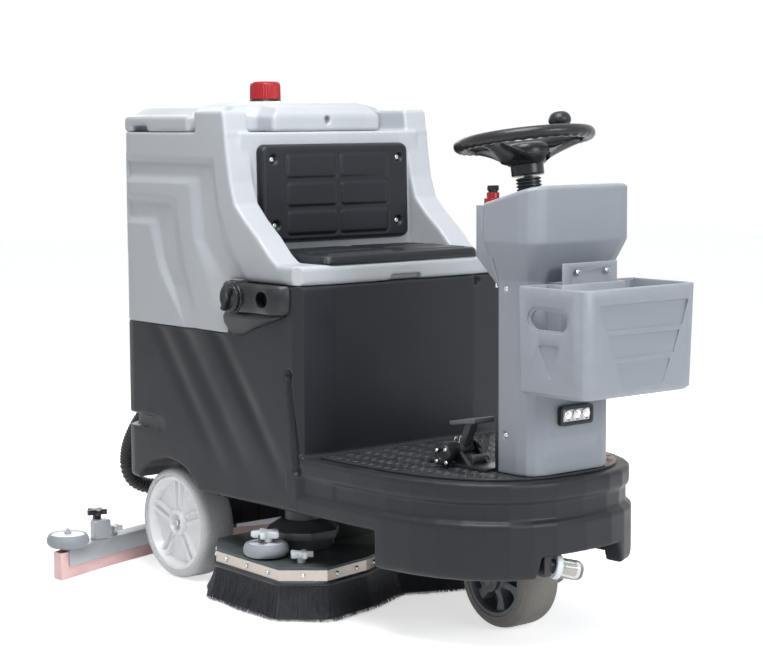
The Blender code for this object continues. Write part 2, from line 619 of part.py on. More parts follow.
def make_column():
    shell = column_loft()
    cut(shell, column_loft(COLUMN_WALL, 0.02, DECK_TOP - 0.02, COLUMN_WALL + COLUMN_EDGE))
    window = slab(rounded(HEADLIGHT_HALF - 0.004, HEADLIGHT_TALL - 0.004, 0.006, (0, HEADLIGHT_Z), 3),
                  -ahead(0.19), -ahead(0.24), "XZ")
    cut(shell, window)
    cut(shell, rod(steer_point(1.02), steer_point(1.20), BOOT_R + 2 * GAP, 24))
    for side in (-1, 1):
        for height in (0.50, 0.845):
            pocket = rod((side * 0.1345, ahead(0.128), height), (side * 0.16, ahead(0.128), height), 0.0085, 12)
            cut(shell, pocket)
    finish_part(shell, "column_shell", MID_PLASTIC)

    floor = DECK_TOP + MAT_THICK + GAP
    foot, head = COLUMN_FOOT_REAR - GAP, COLUMN_HEAD_REAR - GAP
    profile = [(ahead(foot), floor), (ahead(foot), COLUMN_TAPER_LOW), (ahead(head), COLUMN_TAPER_HIGH),
               (ahead(head), BACK_TOP), (ahead(BACK_REAR), BACK_TOP), (ahead(BACK_REAR), 0.915), (ahead(foot - 0.016), 0.850),
               (ahead(foot - 0.016), floor)]
    back = slab(profile, -0.130, 0.130, "YZ")
    cut(back, box((-0.122, ahead(0.110), 0.930), (0.122, ahead(BACK_REAR + 0.010), BACK_TOP - 0.014)))
    cut(back, rod(steer_point(0.70), steer_point(0.96), STEER_SHAFT_R + 0.008, 12))
    cut(back, rod(steer_point(1.00), steer_point(1.20), BOOT_R + 2 * GAP, 24))
    finish_part(back, "column_back", BLACK_PLASTIC)


def make_headlight():
    face = COLUMN_FOOT_FRONT
    frame = slab(rounded(HEADLIGHT_HALF, HEADLIGHT_TALL, 0.009, (0, HEADLIGHT_Z), 3),
                 -ahead(face + GAP), -ahead(face + 0.012), "XZ")
    cup = slab(rounded(HEADLIGHT_HALF - 0.0045, HEADLIGHT_TALL - 0.0045, 0.006, (0, HEADLIGHT_Z), 3),
               -ahead(face - 0.020), -ahead(face + 0.004), "XZ")
    join(frame, cup)
    room = slab(rounded(HEADLIGHT_HALF - 0.008, HEADLIGHT_TALL - 0.008, 0.004, (0, HEADLIGHT_Z), 3),
                -ahead(face - 0.004), -ahead(face + 0.02), "XZ")
    cut(frame, room)
    for x in (-0.030, 0.0, 0.030):
        join(frame, rod((x, ahead(face - 0.006), HEADLIGHT_Z), (x, ahead(face + 0.0055), HEADLIGHT_Z), 0.0115, 14))
    finish_part(frame, "headlight_frame", BLACK_PLASTIC)
    lens = slab(rounded(HEADLIGHT_HALF - 0.0083, HEADLIGHT_TALL - 0.0083, 0.004, (0, HEADLIGHT_Z), 3),
                -ahead(face + 0.0068), -ahead(face + 0.0110), "XZ")
    finish_part(lens, "headlight_lens", CLEAR)


def make_basket():
    back, face = COLUMN_FOOT_FRONT + GAP, BASKET_REAR - GAP
    profile = [(ahead(back), 0.790), (ahead(face), 0.790), (ahead(face), 0.908), (ahead(0.2635), 0.908),
               (ahead(0.2635), 0.866), (ahead(back), 0.862)]
    bracket = slab(profile, -0.090, 0.090, "YZ")
    for side in (-1, 1):
        cut(bracket, rod((side * 0.048, ahead(0.30), 0.886), (side * 0.048, ahead(0.25), 0.886), 0.005, 12))
    finish_part(bracket, "basket_bracket", MID_PLASTIC)

    def plan(inset, front_inset):
        half = BASKET_HALF - inset
        face = BASKET_FACE_HALF - inset * 0.6
        front = BASKET_FRONT - front_inset
        return mirrored([(half, ahead(BASKET_REAR + inset)), (half, ahead(front - 0.052)), (face, ahead(front))])

    def lifted(outline, z):
        return [(x, y, z) for x, y in outline]

    basket = loft([lifted(plan(0.010, 0.012), BASKET_LOW), lifted(plan(0.0, 0.0), BASKET_HIGH)])
    bevel(basket, 0.008, 2, 20)
    wall = BASKET_WALL
    cut(basket, loft([lifted(plan(0.010 + wall, 0.012 + wall), BASKET_LOW + wall),
                      lifted(plan(wall, wall), BASKET_HIGH + 0.02)]))
    mid = (BASKET_REAR + BASKET_FRONT - 0.05) / 2
    slot = slab(rounded(0.034, 0.016, 0.0155, (ahead(mid), 0.792), 4), -0.25, 0.25, "YZ")
    cut(basket, slot)
    tops, widths = (0.828, 0.762, 0.696), (0.132, 0.104, 0.078)
    for top, width in zip(tops, widths):
        panel = [(-width, top), (width, top), (width - 0.022, top - 0.052), (-width + 0.022, top - 0.052)]
        lean = 0.012 * (BASKET_HIGH - top) / (BASKET_HIGH - BASKET_LOW)
        face = BASKET_FRONT - lean
        cut(basket, bevel(slab(panel, -ahead(face - 0.0045), -ahead(face + 0.02), "XZ"), 0.003, 1))
    for side in (-1, 1):
        inner, outer = sorted((side * (BASKET_HALF - 0.009), side * (BASKET_HALF + 0.02)))
        dent = slab([(ahead(mid + 0.030), 0.742), (ahead(mid - 0.030), 0.742), (ahead(mid - 0.002), 0.668),
                     (ahead(mid + 0.014), 0.668)], inner, outer, "YZ")
        cut(basket, dent)
    finish_part(basket, "basket", MID_PLASTIC)


# ---------------------------------------------------------------- steering wheel
BOOT_LOW, BOOT_HIGH = 1.028, 1.100
COLLAR_HIGH = 1.134


def along_steer(distance):
    """Point on the steering axis, measured up it from the wheel hub's base."""
    return steer_point(COLLAR_HIGH) + STEER_AXIS * distance


def make_steering():
    boot_base = steer_point(BOOT_LOW)
    tall = BOOT_HIGH - BOOT_LOW
    folds = 5
    profile = [(STEER_SHAFT_R + 0.0015, tall)]
    for i in range(folds):
        top = tall - tall * i / folds
        profile += [(BOOT_R - 0.006, top), (BOOT_R, top - tall / folds / 2)]
    profile += [(BOOT_R - 0.006, 0.0), (STEER_SHAFT_R + 0.0015, 0.0)]
    finish_part(turned(profile, boot_base, STEER_AXIS, 24), "steering_boot", BLACK_RUBBER)

    shaft = rod(steer_point(0.350), along_steer(0.016), STEER_SHAFT_R, 16)
    finish_part(shaft, "steering_shaft", BRIGHT_STEEL, along_steer(0.0))

    hub = turned([(STEER_SHAFT_R + GAP, 0.020), (0.030, 0.020), (0.036, 0.010), (0.0395, -0.004),
                  (0.0395, -0.030), (0.034, -0.032), (STEER_SHAFT_R + GAP, -0.032)],
                 along_steer(0.0), STEER_AXIS, 24)
    lean = turn_from_z(STEER_AXIS)
    base = along_steer(0.0)
    ring_radius, ring_height = STEER_WHEEL_R - STEER_RIM_R, 0.052
    circle = []
    for i in range(8):
        angle = 2 * math.pi * i / 8
        circle.append((ring_radius + STEER_RIM_R * math.cos(angle), ring_height + STEER_RIM_R * math.sin(angle)))
    ring = turned_ring(circle, base, 32)
    join(hub, ring)
    for i in range(3):
        angle = math.radians(90 + 120 * i)
        arm = [(0.022, 0.000), (0.022, 0.016), (0.110, 0.050), (ring_radius, ring_height + 0.005),
               (ring_radius, ring_height - 0.005), (0.112, 0.036), (0.050, 0.004)]
        spoke = slab(arm, -0.022, 0.022, "XZ")
        spoke.data.transform(Matrix.Translation(base) @ lean @ Matrix.Rotation(angle, 4, "Z"))
        join(hub, spoke)
    cap = turned([(0.0, 0.046), (0.020, 0.044), (0.027, 0.036), (0.027, 0.0163), (0.0, 0.0163)], base,
                 STEER_AXIS, 20)
    join(hub, cap)
    finish_part(hub, "steering_wheel", BLACK_PLASTIC, base)
    out = lean @ Vector((math.cos(SPINNER_ANGLE) * ring_radius, math.sin(SPINNER_ANGLE) * ring_radius, ring_height))
    foot = base + out.to_3d() + STEER_AXIS * (STEER_RIM_R + GAP)
    knob = turned([(0.0, 0.062), (0.014, 0.060), (0.024, 0.052), (0.028, 0.040), (0.024, 0.028), (0.012, 0.021),
                   (0.009, 0.010), (0.010, 0.0), (0.0, 0.0)], foot, STEER_AXIS, 20)
    finish_part(knob, "spinner_knob", BLACK_PLASTIC, foot)


def turned_ring(circle, centre, steps):
    """A ring with a closed round section, about the steering axis."""
    bm = bmesh.new()
    ring = [bm.verts.new((radius, 0, height)) for radius, height in reversed(circle)]
    for i, vert in enumerate(ring):
        bm.edges.new((vert, ring[(i + 1) % len(ring)]))
    obj = from_bmesh(bm)
    screw = obj.modifiers.new("turn", "SCREW")
    screw.steps = steps
    screw.render_steps = steps
    screw.use_merge_vertices = True
    screw.merge_threshold = 0.00005
    solid = baked(obj)
    solid.data.transform(Matrix.Translation(centre) @ turn_from_z(STEER_AXIS))
    return solid


# ---------------------------------------------------------------- deck fittings
def make_mat():
    outline = nose_outline(0.036, -0.355)
    mat = slab(outline, DECK_TOP + GAP, DECK_TOP + MAT_THICK)
    cut(mat, box((-0.3, ahead(SEAT_FRONT), 0.3), (0.3, ahead(SEAT_FRONT) + 0.1, 0.5)))
    cut(mat, rod(steer_point(0.36), steer_point(0.44), STEER_SHAFT_R + 0.006, 16))
    finish_part(mat, "deck_mat", MAT_RUBBER)


PEDAL_X = -0.120
PEDAL_PIVOT = (PEDAL_X, ahead(-0.035), 0.448)


def make_pedal():
    floor = DECK_TOP + MAT_THICK + GAP
    base = box((PEDAL_X - 0.045, ahead(0.085), floor), (PEDAL_X + 0.045, ahead(-0.110), floor + 0.008))
    y, z = PEDAL_PIVOT[1], PEDAL_PIVOT[2]
    for low_x, high_x in ((PEDAL_X - 0.036, PEDAL_X - 0.026), (PEDAL_X + 0.026, PEDAL_X + 0.036)):
        cheek = [(y - 0.060, floor + 0.004), (y + 0.045, floor + 0.004)] + arc((y, z), 0.020, 0, 180, 6)
        join(base, slab(cheek, low_x, high_x, "YZ"))
    join(base, rod((PEDAL_X - 0.040, y, z), (PEDAL_X + 0.040, y, z), 0.006, 12))
    sensor = rod((PEDAL_X - 0.070, y, z), (PEDAL_X - 0.034, y, z), 0.024, 18)
    join(base, sensor)
    finish_part(base, "pedal_bracket", BLACK_PLASTIC)
    arm = rod((PEDAL_X - 0.024, y, z), (PEDAL_X + 0.024, y, z), 0.013, 18)
    lever = slab([(y + 0.010, z), (y - 0.020, 0.516), (y - 0.040, 0.514), (y - 0.010, z + 0.002)],
                 PEDAL_X - 0.012, PEDAL_X + 0.012, "YZ")
    join(arm, lever)
    pad = slab([(ahead(0.036), 0.531), (ahead(-0.052), 0.516), (ahead(-0.050), 0.505), (ahead(0.038), 0.518)],
               PEDAL_X - 0.034, PEDAL_X + 0.034, "YZ")
    join(arm, bevel(pad, 0.002, 1))
    cut(arm, rod((PEDAL_X - 0.05, y, z), (PEDAL_X + 0.05, y, z), 0.006 + 0.0005, 12))
    finish_part(arm, "throttle_pedal", BLACK_PLASTIC, PEDAL_PIVOT)


# ---------------------------------------------------------------- filler, filter and isolator
CAP_STATION, CAP_Z = -0.610, 0.806
CAP_SEAT = 0.0445               # the cap's seat lies this far out from the body's side


def beside(distance):
    """X of a point this far out from the body's right side."""
    return -BODY_HALF - distance


def make_filler():
    plan = [(-BODY_HALF - GAP, ahead(-0.420)), (-BODY_HALF - GAP, ahead(-0.690)),
            (beside(0.027), ahead(-0.672)), (beside(0.043), ahead(-0.640)), (beside(0.043), ahead(-0.580)),
            (beside(0.033), ahead(-0.520)),
            (beside(0.033), ahead(-0.460)), (beside(0.021), ahead(-0.432))]
    neck = bevel(slab(plan, 0.752, 0.8285), 0.008, 2)
    under = loft([[(-BODY_HALF - GAP, ahead(-0.60), 0.700), (-BODY_HALF - GAP, ahead(-0.66), 0.700),
                   (-BODY_HALF - 0.004, ahead(-0.655), 0.700), (-BODY_HALF - 0.004, ahead(-0.605), 0.700)],
                  [(-BODY_HALF - GAP, ahead(-0.45), 0.760), (-BODY_HALF - GAP, ahead(-0.68), 0.760),
                   (beside(0.031), ahead(-0.65), 0.760), (beside(0.025), ahead(-0.46), 0.760)]])
    join(neck, under)
    cup = slab(rounded(0.012, 0.026, 0.0118, (beside(0.0165), ahead(-0.476)), 5), 0.775, 0.85)
    cut(neck, cup)
    cut(neck, box((beside(0.105), ahead(CAP_STATION + 0.035), 0.845), (beside(-0.045), ahead(CAP_STATION - 0.035), 0.90)))
    collar = rod((-BODY_HALF - GAP, ahead(CAP_STATION), CAP_Z - 0.014), (beside(CAP_SEAT), ahead(CAP_STATION), CAP_Z - 0.014),
                 0.040, 24)
    join(neck, collar)
    finish_part(neck, "filler_neck", BLACK_PLASTIC)
    centre = (beside(CAP_SEAT + GAP), ahead(CAP_STATION), CAP_Z - 0.014)
    cap = turned([(0.0, 0.012), (0.034, 0.012), (0.038, 0.008), (0.038, 0.0), (0.0, 0.0)], centre, (-1, 0, 0), 24)
    grip = slab(rounded(0.030, 0.007, 0.0065, (ahead(CAP_STATION), CAP_Z - 0.014), 3), beside(0.067), beside(0.053), "YZ")
    join(cap, grip)
    finish_part(cap, "filler_cap", BLACK_PLASTIC, centre)


FILTER_START = Vector((-0.082, ahead(0.228), 0.196))
FILTER_DIR = Vector((0.080, -0.040, -0.020)).normalized()


def make_filter():
    start = FILTER_START
    head = box((start.x - 0.040, start.y - 0.016, 0.178), (start.x - 0.018, start.y + 0.026, 0.2257))
    join(head, rod(start - FILTER_DIR * 0.03, start + FILTER_DIR * 0.004, 0.018, 16))
    finish_part(head, "filter_head", BLACK_PLASTIC)
    base = start + FILTER_DIR * (0.004 + GAP)
    bowl = turned([(0.0, 0.070), (0.020, 0.068), (0.024, 0.060), (0.024, 0.014), (0.028, 0.012), (0.028, 0.0),
                   (0.0, 0.0)], base, FILTER_DIR, 20)
    finish_part(bowl, "filter_bowl", CLEAR, base)


ISOLATOR = Vector((-0.100, ahead(0.045), BACK_TOP + GAP))


def make_isolator():
    base = rod(ISOLATOR, ISOLATOR + Vector((0, 0, 0.016)), 0.021, 18)
    join(base, rod(ISOLATOR + Vector((0, 0, 0.010)), ISOLATOR + Vector((0, 0, 0.030)), 0.015, 18))
    finish_part(base, "isolator_base", RED_PLASTIC)
    top = ISOLATOR + Vector((0, 0, 0.0303))
    key = rod(top, top + Vector((0, 0, 0.005)), 0.011, 14)
    join(key, bevel(box((top.x - 0.017, top.y - 0.004, top.z + 0.003), (top.x + 0.017, top.y + 0.004, top.z + 0.016)),
                    0.002, 1))
    finish_part(key, "isolator_key", BLACK_PLASTIC, top)
    panel_low, panel_high = 0.962, 1.010
    panel = slab(rounded(0.085, 0.020, 0.006, (0, (panel_low + panel_high) / 2), 3),
                 -(ahead(BACK_REAR) + GAP), -(ahead(BACK_REAR) + 0.005), "XZ")
    finish_part(panel, "control_panel", MOTOR_GREY)


# ---------------------------------------------------------------- recovery tank, seat and lid
BACK_STATION, BACK_FOOT_Z, BACK_LEAN = -0.678, SEAT_BASE_TOP + 0.01, 0.022
WING_FOOT_Z = 0.848             # lowest point of a side wing's front edge


def side_profile():
    """Outline of the tank's side wing, seen from the side: forward edge from the lid down to the seat."""
    foot, rise = WING_FOOT_Z, TANK_TOP + WING_RISE - WING_FOOT_Z
    edge = [(-0.700, 1.0), (-0.684, 0.7295), (-0.672, 0.5604), (-0.652, 0.4275), (-0.610, 0.3309), (-0.558, 0.2343),
            (-0.510, 0.1256), (-0.460, 0.0483), (-0.405, 0.0)]
    return [(ahead(station), foot + rise * share) for station, share in edge]


def make_tank():
    rear = slab(rear_plan(0.0, SEAT_BACK - GAP), TANK_LOW, TANK_TOP)
    tray_plan = mirrored([(BODY_HALF, ahead(SEAT_BACK - 0.03)), (BODY_HALF, ahead(-0.400)),
                          (0.234, ahead(SEAT_FRONT))])
    tray = bevel(slab(tray_plan, SEAT_BASE_TOP + GAP, SEAT_RIM_TOP), 0.010, 2)
    join(rear, tray)
    back_post = slab([(ahead(BACK_STATION), BACK_FOOT_Z),
                      (ahead(BACK_STATION - BACK_LEAN * (TANK_TOP - BACK_FOOT_Z)), TANK_TOP - 0.001),
                      (ahead(-0.80), TANK_TOP - 0.001), (ahead(-0.80), BACK_FOOT_Z)],
                     -0.30, 0.30, "YZ")
    join(rear, back_post)
    for side in (-1, 1):
        low_x, high_x = sorted((side * (BODY_HALF - WING_THICK), side * BODY_HALF))
        outline = side_profile()
        outline += [(ahead(-0.392), 0.836), (ahead(-0.80), 0.836), (ahead(-0.83), TANK_TOP + WING_RISE)]
        wing = slab(outline, low_x, high_x, "YZ")
        bevel(wing, 0.016, 2, 35)
        join(rear, wing)
    cavity_plan = mirrored([(BODY_HALF - 0.080, ahead(SEAT_BACK - 0.030)), (BODY_HALF - 0.020, ahead(-0.86)),
                            (BODY_HALF - 0.020, ahead(BODY_REAR) - 0.06), (BODY_HALF - 0.06, ahead(BODY_REAR) - 0.02)])
    cut(rear, slab(cavity_plan, TANK_LOW + TANK_WALL, TANK_TOP - 0.025))
    mouth = slab(rounded(0.20, 0.15, 0.04, (0, ahead(-0.97)), 4), TANK_TOP - 0.2, TANK_TOP + 0.1)
    cut(rear, mouth)
    for i in range(4):
        high = TANK_TOP - RIB_DROP - i * RIB_PITCH
        cut(rear, slab(tank_groove(0.010), high - RIB_HIGH, high))
    cut(rear, box((-0.05, ahead(-0.33), 0.8445), (0.05, ahead(-0.400), 0.822)))
    for side in (-1, 1):
        inner, outer = side * 0.0503, side * 0.100
        join(rear, box((inner, ahead(BODY_REAR + 0.004), TANK_LOW + 0.002), (outer, ahead(HINGE_STATION + 0.002), 0.740)))
        join(rear, rod((inner, ahead(HINGE_STATION), HINGE_Z), (outer, ahead(HINGE_STATION), HINGE_Z), HINGE_R, 16))
    cut(rear, rod((-0.12, ahead(HINGE_STATION), HINGE_Z), (0.12, ahead(HINGE_STATION), HINGE_Z), PIN_R + GAP, 12))
    finish_part(rear, "recovery_tank", LIGHT_PLASTIC, (0, ahead(HINGE_STATION), HINGE_Z))


def tank_groove(depth):
    """Outline that takes a shallow groove round the rear of the tank."""
    front = ahead(-0.86)
    radius = BODY_CORNER
    rear = ahead(BODY_REAR) - depth
    half = BODY_HALF - depth
    inner = [(-BODY_HALF, front)]
    inner += [(-x, y) for x, y in arc((half - radius, rear - radius), radius, 0, 90, 4)]
    inner += list(reversed(arc((half - radius, rear - radius), radius, 0, 90, 4)))
    inner += [(BODY_HALF, front)]
    return inner + [(BODY_HALF + 0.02, front), (BODY_HALF + 0.02, rear + 0.05),
                    (-BODY_HALF - 0.02, rear + 0.05), (-BODY_HALF - 0.02, front)]


def make_hinge():
    y, z = ahead(HINGE_STATION), HINGE_Z
    leaf = box((-0.050, ahead(BODY_REAR) + GAP, 0.640), (0.050, ahead(HINGE_STATION + 0.003), z - 0.001))
    join(leaf, rod((-0.050, y, z), (0.050, y, z), HINGE_R, 16))
    join(leaf, rod((-0.104, y, z), (0.104, y, z), PIN_R, 12))
    finish_part(leaf, "tank_hinge", BRIGHT_STEEL)


LID_HINGE = (0, ahead(BODY_REAR - 0.001), TANK_TOP + GAP)


def make_lid():
    low = TANK_TOP + GAP
    wing_inner = BODY_HALF - WING_THICK
    front_half = wing_inner - 0.086
    plan = [(front_half, ahead(-0.700)), (front_half + 0.01, ahead(-0.76)), (wing_inner - 0.006, ahead(-0.800)),
            (wing_inner - 0.006, ahead(-0.8305)), (BODY_HALF, ahead(-0.8605))]
    plan += arc((BODY_HALF - BODY_CORNER, ahead(BODY_REAR) - BODY_CORNER + 0.004), BODY_CORNER, 0, 90, 4)
    lid = slab(mirrored(plan), low, low + 0.042)
    for side in (-1, 1):
        cut(lid, box((side * (BODY_HALF - 0.03), ahead(-1.05), low - 0.01),
                     (side * (BODY_HALF + 0.02), ahead(-1.12), low + 0.016)))
    crown_plan = [(x * 0.97, y) for x, y in mirrored(plan)]
    bevel(lid, 0.010, 2, 40)
    crown = loft([[(x, y, low + 0.040) for x, y in crown_plan],
                  [(x * 0.90, ahead(-0.95) + (y - ahead(-0.95)) * 0.93, low + 0.060) for x, y in crown_plan],
                  [(x * 0.70, ahead(-0.95) + (y - ahead(-0.95)) * 0.80, LID_TOP) for x, y in crown_plan]])
    join(lid, crown)
    cut(lid, rod((0, ahead(-0.690), low + 0.028), (0, ahead(-0.720), low + 0.028), 0.010, 16))
    room = slab(rounded(0.24, 0.17, 0.04, (0, ahead(-0.97)), 3), low - 0.056, low + 0.022)
    cut(lid, room)
    finish_part(lid, "tank_lid", LIGHT_PLASTIC, LID_HINGE)
    base = Vector((0, ahead(-0.975), LID_TOP + GAP))
    finish_part(turned([(0.0, 0.016), (0.043, 0.016), (0.045, 0.010), (0.045, 0.0), (0.0, 0.0)], base,
                       (0, 0, 1), 24), "beacon_base", BLACK_PLASTIC)
    top = base + Vector((0, 0, 0.0163))
    finish_part(turned([(0.0, 0.049), (0.036, 0.046), (0.042, 0.038), (0.0425, 0.0), (0.0, 0.0)], top,
                       (0, 0, 1), 24), "beacon_lens", RED_PLASTIC)


def make_pads():
    low = SEAT_RIM_TOP + GAP
    middle = (SEAT_FRONT + 0.004 - 0.668) / 2
    half_long = (SEAT_FRONT - 0.006 + 0.668) / 2
    seat = slab(rounded(PAD_HALF, half_long, 0.030, (0, ahead(middle)), 4), low, low + 0.026)
    bevel(seat, 0.010, 2, 40)
    finish_part(seat, "seat_pad", PAD_FOAM)
    pad_foot = 0.920
    front = ahead(BACK_STATION - BACK_LEAN * (pad_foot - BACK_FOOT_Z)) - GAP
    pad = slab(rounded(0.250, 0.128, 0.022, (0, 1.046), 4), -front, -front + 0.026, "XZ")
    pad.data.transform(Matrix.Translation((0, front, pad_foot)) @ Matrix.Rotation(-BACK_LEAN, 4, "X")
                       @ Matrix.Translation((0, -front, -pad_foot)))
    bevel(pad, 0.008, 2, 40)
    for x, z in ((0.213, 1.135), (0.208, 0.964), (-0.213, 1.135), (-0.208, 0.964)):
        cut(pad, rod((x, front - 0.06, z), (x, front - 0.012, z), 0.012, 14))
    finish_part(pad, "backrest_pad", PAD_FOAM)


def make_vacuum():
    centre = (0.0, ahead(-0.815), TANK_LOW + TANK_WALL + GAP)
    motor = turned([(0.0, 0.150), (0.050, 0.150), (0.062, 0.140), (0.062, 0.040), (0.072, 0.036), (0.072, 0.0),
                    (0.0, 0.0)], centre, (0, 0, 1), 24)
    finish_part(motor, "vacuum_motor", MOTOR_GREY)


# ---------------------------------------------------------------- brush deck
def deck_plan(inset=0.0):
    """Plan of the brush deck: a facetted rim round each brush, drawn for +X."""
    x, y, r = BRUSH_OFFSET, BRUSH_STATION, BRUSH_R
    rear = REAR_WHEEL_STATION + REAR_WHEEL_R + 0.010
    corners = [(0.0, -0.430), (x - 0.035, y + r + 0.025), (x + 0.115, y + r + 0.055), (x + r + 0.015, y + 0.165),
               (x + r - 0.005, y - 0.125), (x + 0.105, rear + 0.015), (x - 0.045, rear), (0.0, -0.740)]
    middle = Vector((BRUSH_OFFSET, BRUSH_STATION))
    moved = []
    for x, station in corners:
        arm = Vector((x, station)) - middle
        shift = arm.normalized() * -inset
        moved.append((x + shift.x if x > 0 else 0.0, station + shift.y))
    return moved


def deck_outline(inset=0.0):
    return mirrored([(x, ahead(station)) for x, station in deck_plan(inset)])


def deck_bolt(side):
    """Where a side roller's bolt stands on the brush deck."""
    return Vector((side * (BRUSH_OFFSET + 0.151), ahead(-0.532), DECK_PLATE_TOP))


def make_brush_deck():
    plate = slab(deck_outline(0.0), DECK_PLATE_LOW, DECK_PLATE_TOP)
    for side in (-1, 1):
        x = side * BRUSH_OFFSET
        cut(plate, rod((x, ahead(BRUSH_STATION), 0.05), (x, ahead(BRUSH_STATION), 0.2), 0.016, 20))
    cut(plate, slab(deck_outline(0.012), DECK_PLATE_LOW - 0.01, DECK_PLATE_TOP - 0.006))
    for side in (-1, 1):
        post_back = ahead(GUIDE_STATION) - GAP
        join(plate, box((side * 0.111, post_back - 0.012, DECK_PLATE_TOP - 0.002), (side * 0.139, post_back, 0.255)))
        at = deck_bolt(side) - Vector((0, 0, 0.002))
        join(plate, rod(at, at + Vector((0, 0, 0.048)), 0.005, 12))
        join(plate, rod(at + Vector((0, 0, 0.0405)), at + Vector((0, 0, 0.054)), 0.012, 12))
        for turn in (25, 205):
            wing = box((0.006, -0.004, 0.045), (0.036, 0.004, 0.064))
            wing.data.transform(Matrix.Translation(at) @ Matrix.Rotation(math.radians(turn), 4, "Z"))
            join(plate, wing)
    finish_part(plate, "deck_plate", DECK_PAINT)

    band_low = DECK_PLATE_LOW - GAP

    def level(inset, z):
        return [(x, y, z) for x, y in deck_outline(inset)]

    skirt = loft([level(-0.034, 0.0012), level(-0.008, 0.060), level(-0.006, band_low)])
    cut(skirt, loft([level(-0.020, -0.02), level(0.004, 0.060), level(0.006, 0.12)]))
    finish_part(skirt, "bristle_skirt", BRISTLE)

    for side, name in ((-1, "right"), (1, "left")):
        x = side * BRUSH_OFFSET
        centre = (x, ahead(BRUSH_STATION), 0.0)
        brush = turned([(0.0, DECK_PLATE_TOP - GAP), (0.0155, DECK_PLATE_TOP - GAP), (0.0155, 0.095), (0.150, 0.090), (0.165, 0.086),
                        (0.165, 0.070), (BRUSH_R - 0.016, 0.068), (BRUSH_R, 0.0), (0.080, 0.0), (0.090, 0.066),
                        (0.0, 0.066)], centre, (0, 0, 1), 20)
        finish_part(brush, "brush_" + name, BRUSH_NYLON, centre)
        tier = [(x + px, ahead(BRUSH_STATION) + py) for px, py in
                ((0.088, 0.040), (0.040, 0.088), (-0.040, 0.088), (-0.088, 0.040), (-0.088, -0.040),
                 (-0.040, -0.088), (0.040, -0.088), (0.088, -0.040))]
        housing = rod((x, ahead(BRUSH_STATION), DECK_PLATE_TOP + GAP), (x, ahead(BRUSH_STATION), 0.166), 0.078, 24)
        upper = [((px - x) * 0.60 + x, (py - ahead(BRUSH_STATION)) * 0.60 + ahead(BRUSH_STATION)) for px, py in tier]
        join(housing, slab(tier, 0.164, 0.184))
        join(housing, loft([[(px, py, 0.183) for px, py in tier], [(px, py, 0.208) for px, py in upper]]))
        join(housing, rod((x, ahead(BRUSH_STATION), 0.205), (x, ahead(BRUSH_STATION), 0.298), 0.046, 20))
        cut(housing, box((x - 0.2, ahead(-0.5595) - 0.014, 0.13), (x - side * 0.05, ahead(-0.5595) + 0.035, 0.4))
            if side > 0 else
            box((x + 0.05, ahead(-0.5595) - 0.014, 0.13), (x + 0.2, ahead(-0.5595) + 0.035, 0.4)))
        finish_part(housing, "gear_motor_" + name, MOTOR_GREY)
        bolt = deck_bolt(side) + Vector((0, 0, GAP))
        roller = turned([(0.0, 0.038), (0.046, 0.038), (0.054, 0.034), (0.0585, 0.024), (0.0585, 0.014),
                         (0.054, 0.004), (0.0, 0.004)], bolt, (0, 0, 1), 20)
        cut(roller, rod(bolt - Vector((0, 0, 0.02)), bolt + Vector((0, 0, 0.05)), 0.0055, 12))
        finish_part(roller, "deck_roller_" + name, ROLLER_GREY, bolt)
        knob_at = Vector((side * (BRUSH_OFFSET + 0.125), ahead(-0.420), DECK_PLATE_TOP + GAP))
        finish_part(star_knob(knob_at, 0.018, 0.014, 0.028), "deck_knob_" + name, WHITE_PLASTIC, knob_at)


def star_knob(at, stem, low, high):
    """A five-armed hand knob on a stem, standing at the given point."""
    lobes = 5
    outline = []
    for i in range(4 * lobes):
        angle = 2 * math.pi * (i + 0.5) / (4 * lobes)
        reach = stem + 0.006 if i % 4 in (1, 2) else 0.011
        outline.append((at.x + reach * math.cos(angle), at.y + reach * math.sin(angle)))
    knob = slab(outline, at.z + low, at.z + high)
    join(knob, rod(at, at + Vector((0, 0, high - 0.003)), 0.009, 12))
    return knob


# ---------------------------------------------------------------- squeegee
def squeegee_line(x):
    """Station of the squeegee's front face at this distance from the middle."""
    share = abs(x) / SQUEEGEE_HALF
    return SQUEEGEE_MIDDLE + (SQUEEGEE_TIP - SQUEEGEE_MIDDLE) * (0.72 * share + 0.28 * share ** 2)


def squeegee_strip(front, back, half, count=6):
    """Plan of a strip that follows the squeegee's shallow V."""
    xs = [half * i / count for i in range(count + 1)]
    fore = [(x, ahead(squeegee_line(x) + front)) for x in reversed(xs)]
    aft = [(x, ahead(squeegee_line(x) + back)) for x in xs]
    right = fore + [(-x, y) for x, y in reversed(fore[:-1])]
    rear = [(-x, y) for x, y in reversed(aft[1:])] + aft
    return right + rear


def tip_bolt(side):
    """Where a tip roller's bolt stands on the squeegee beam."""
    return Vector((side * 0.530, ahead(squeegee_line(0.530) - 0.026), BEAM_HIGH))


LIFT_PIVOT = (0, ahead(LIFT_STATION), LIFT_Z)


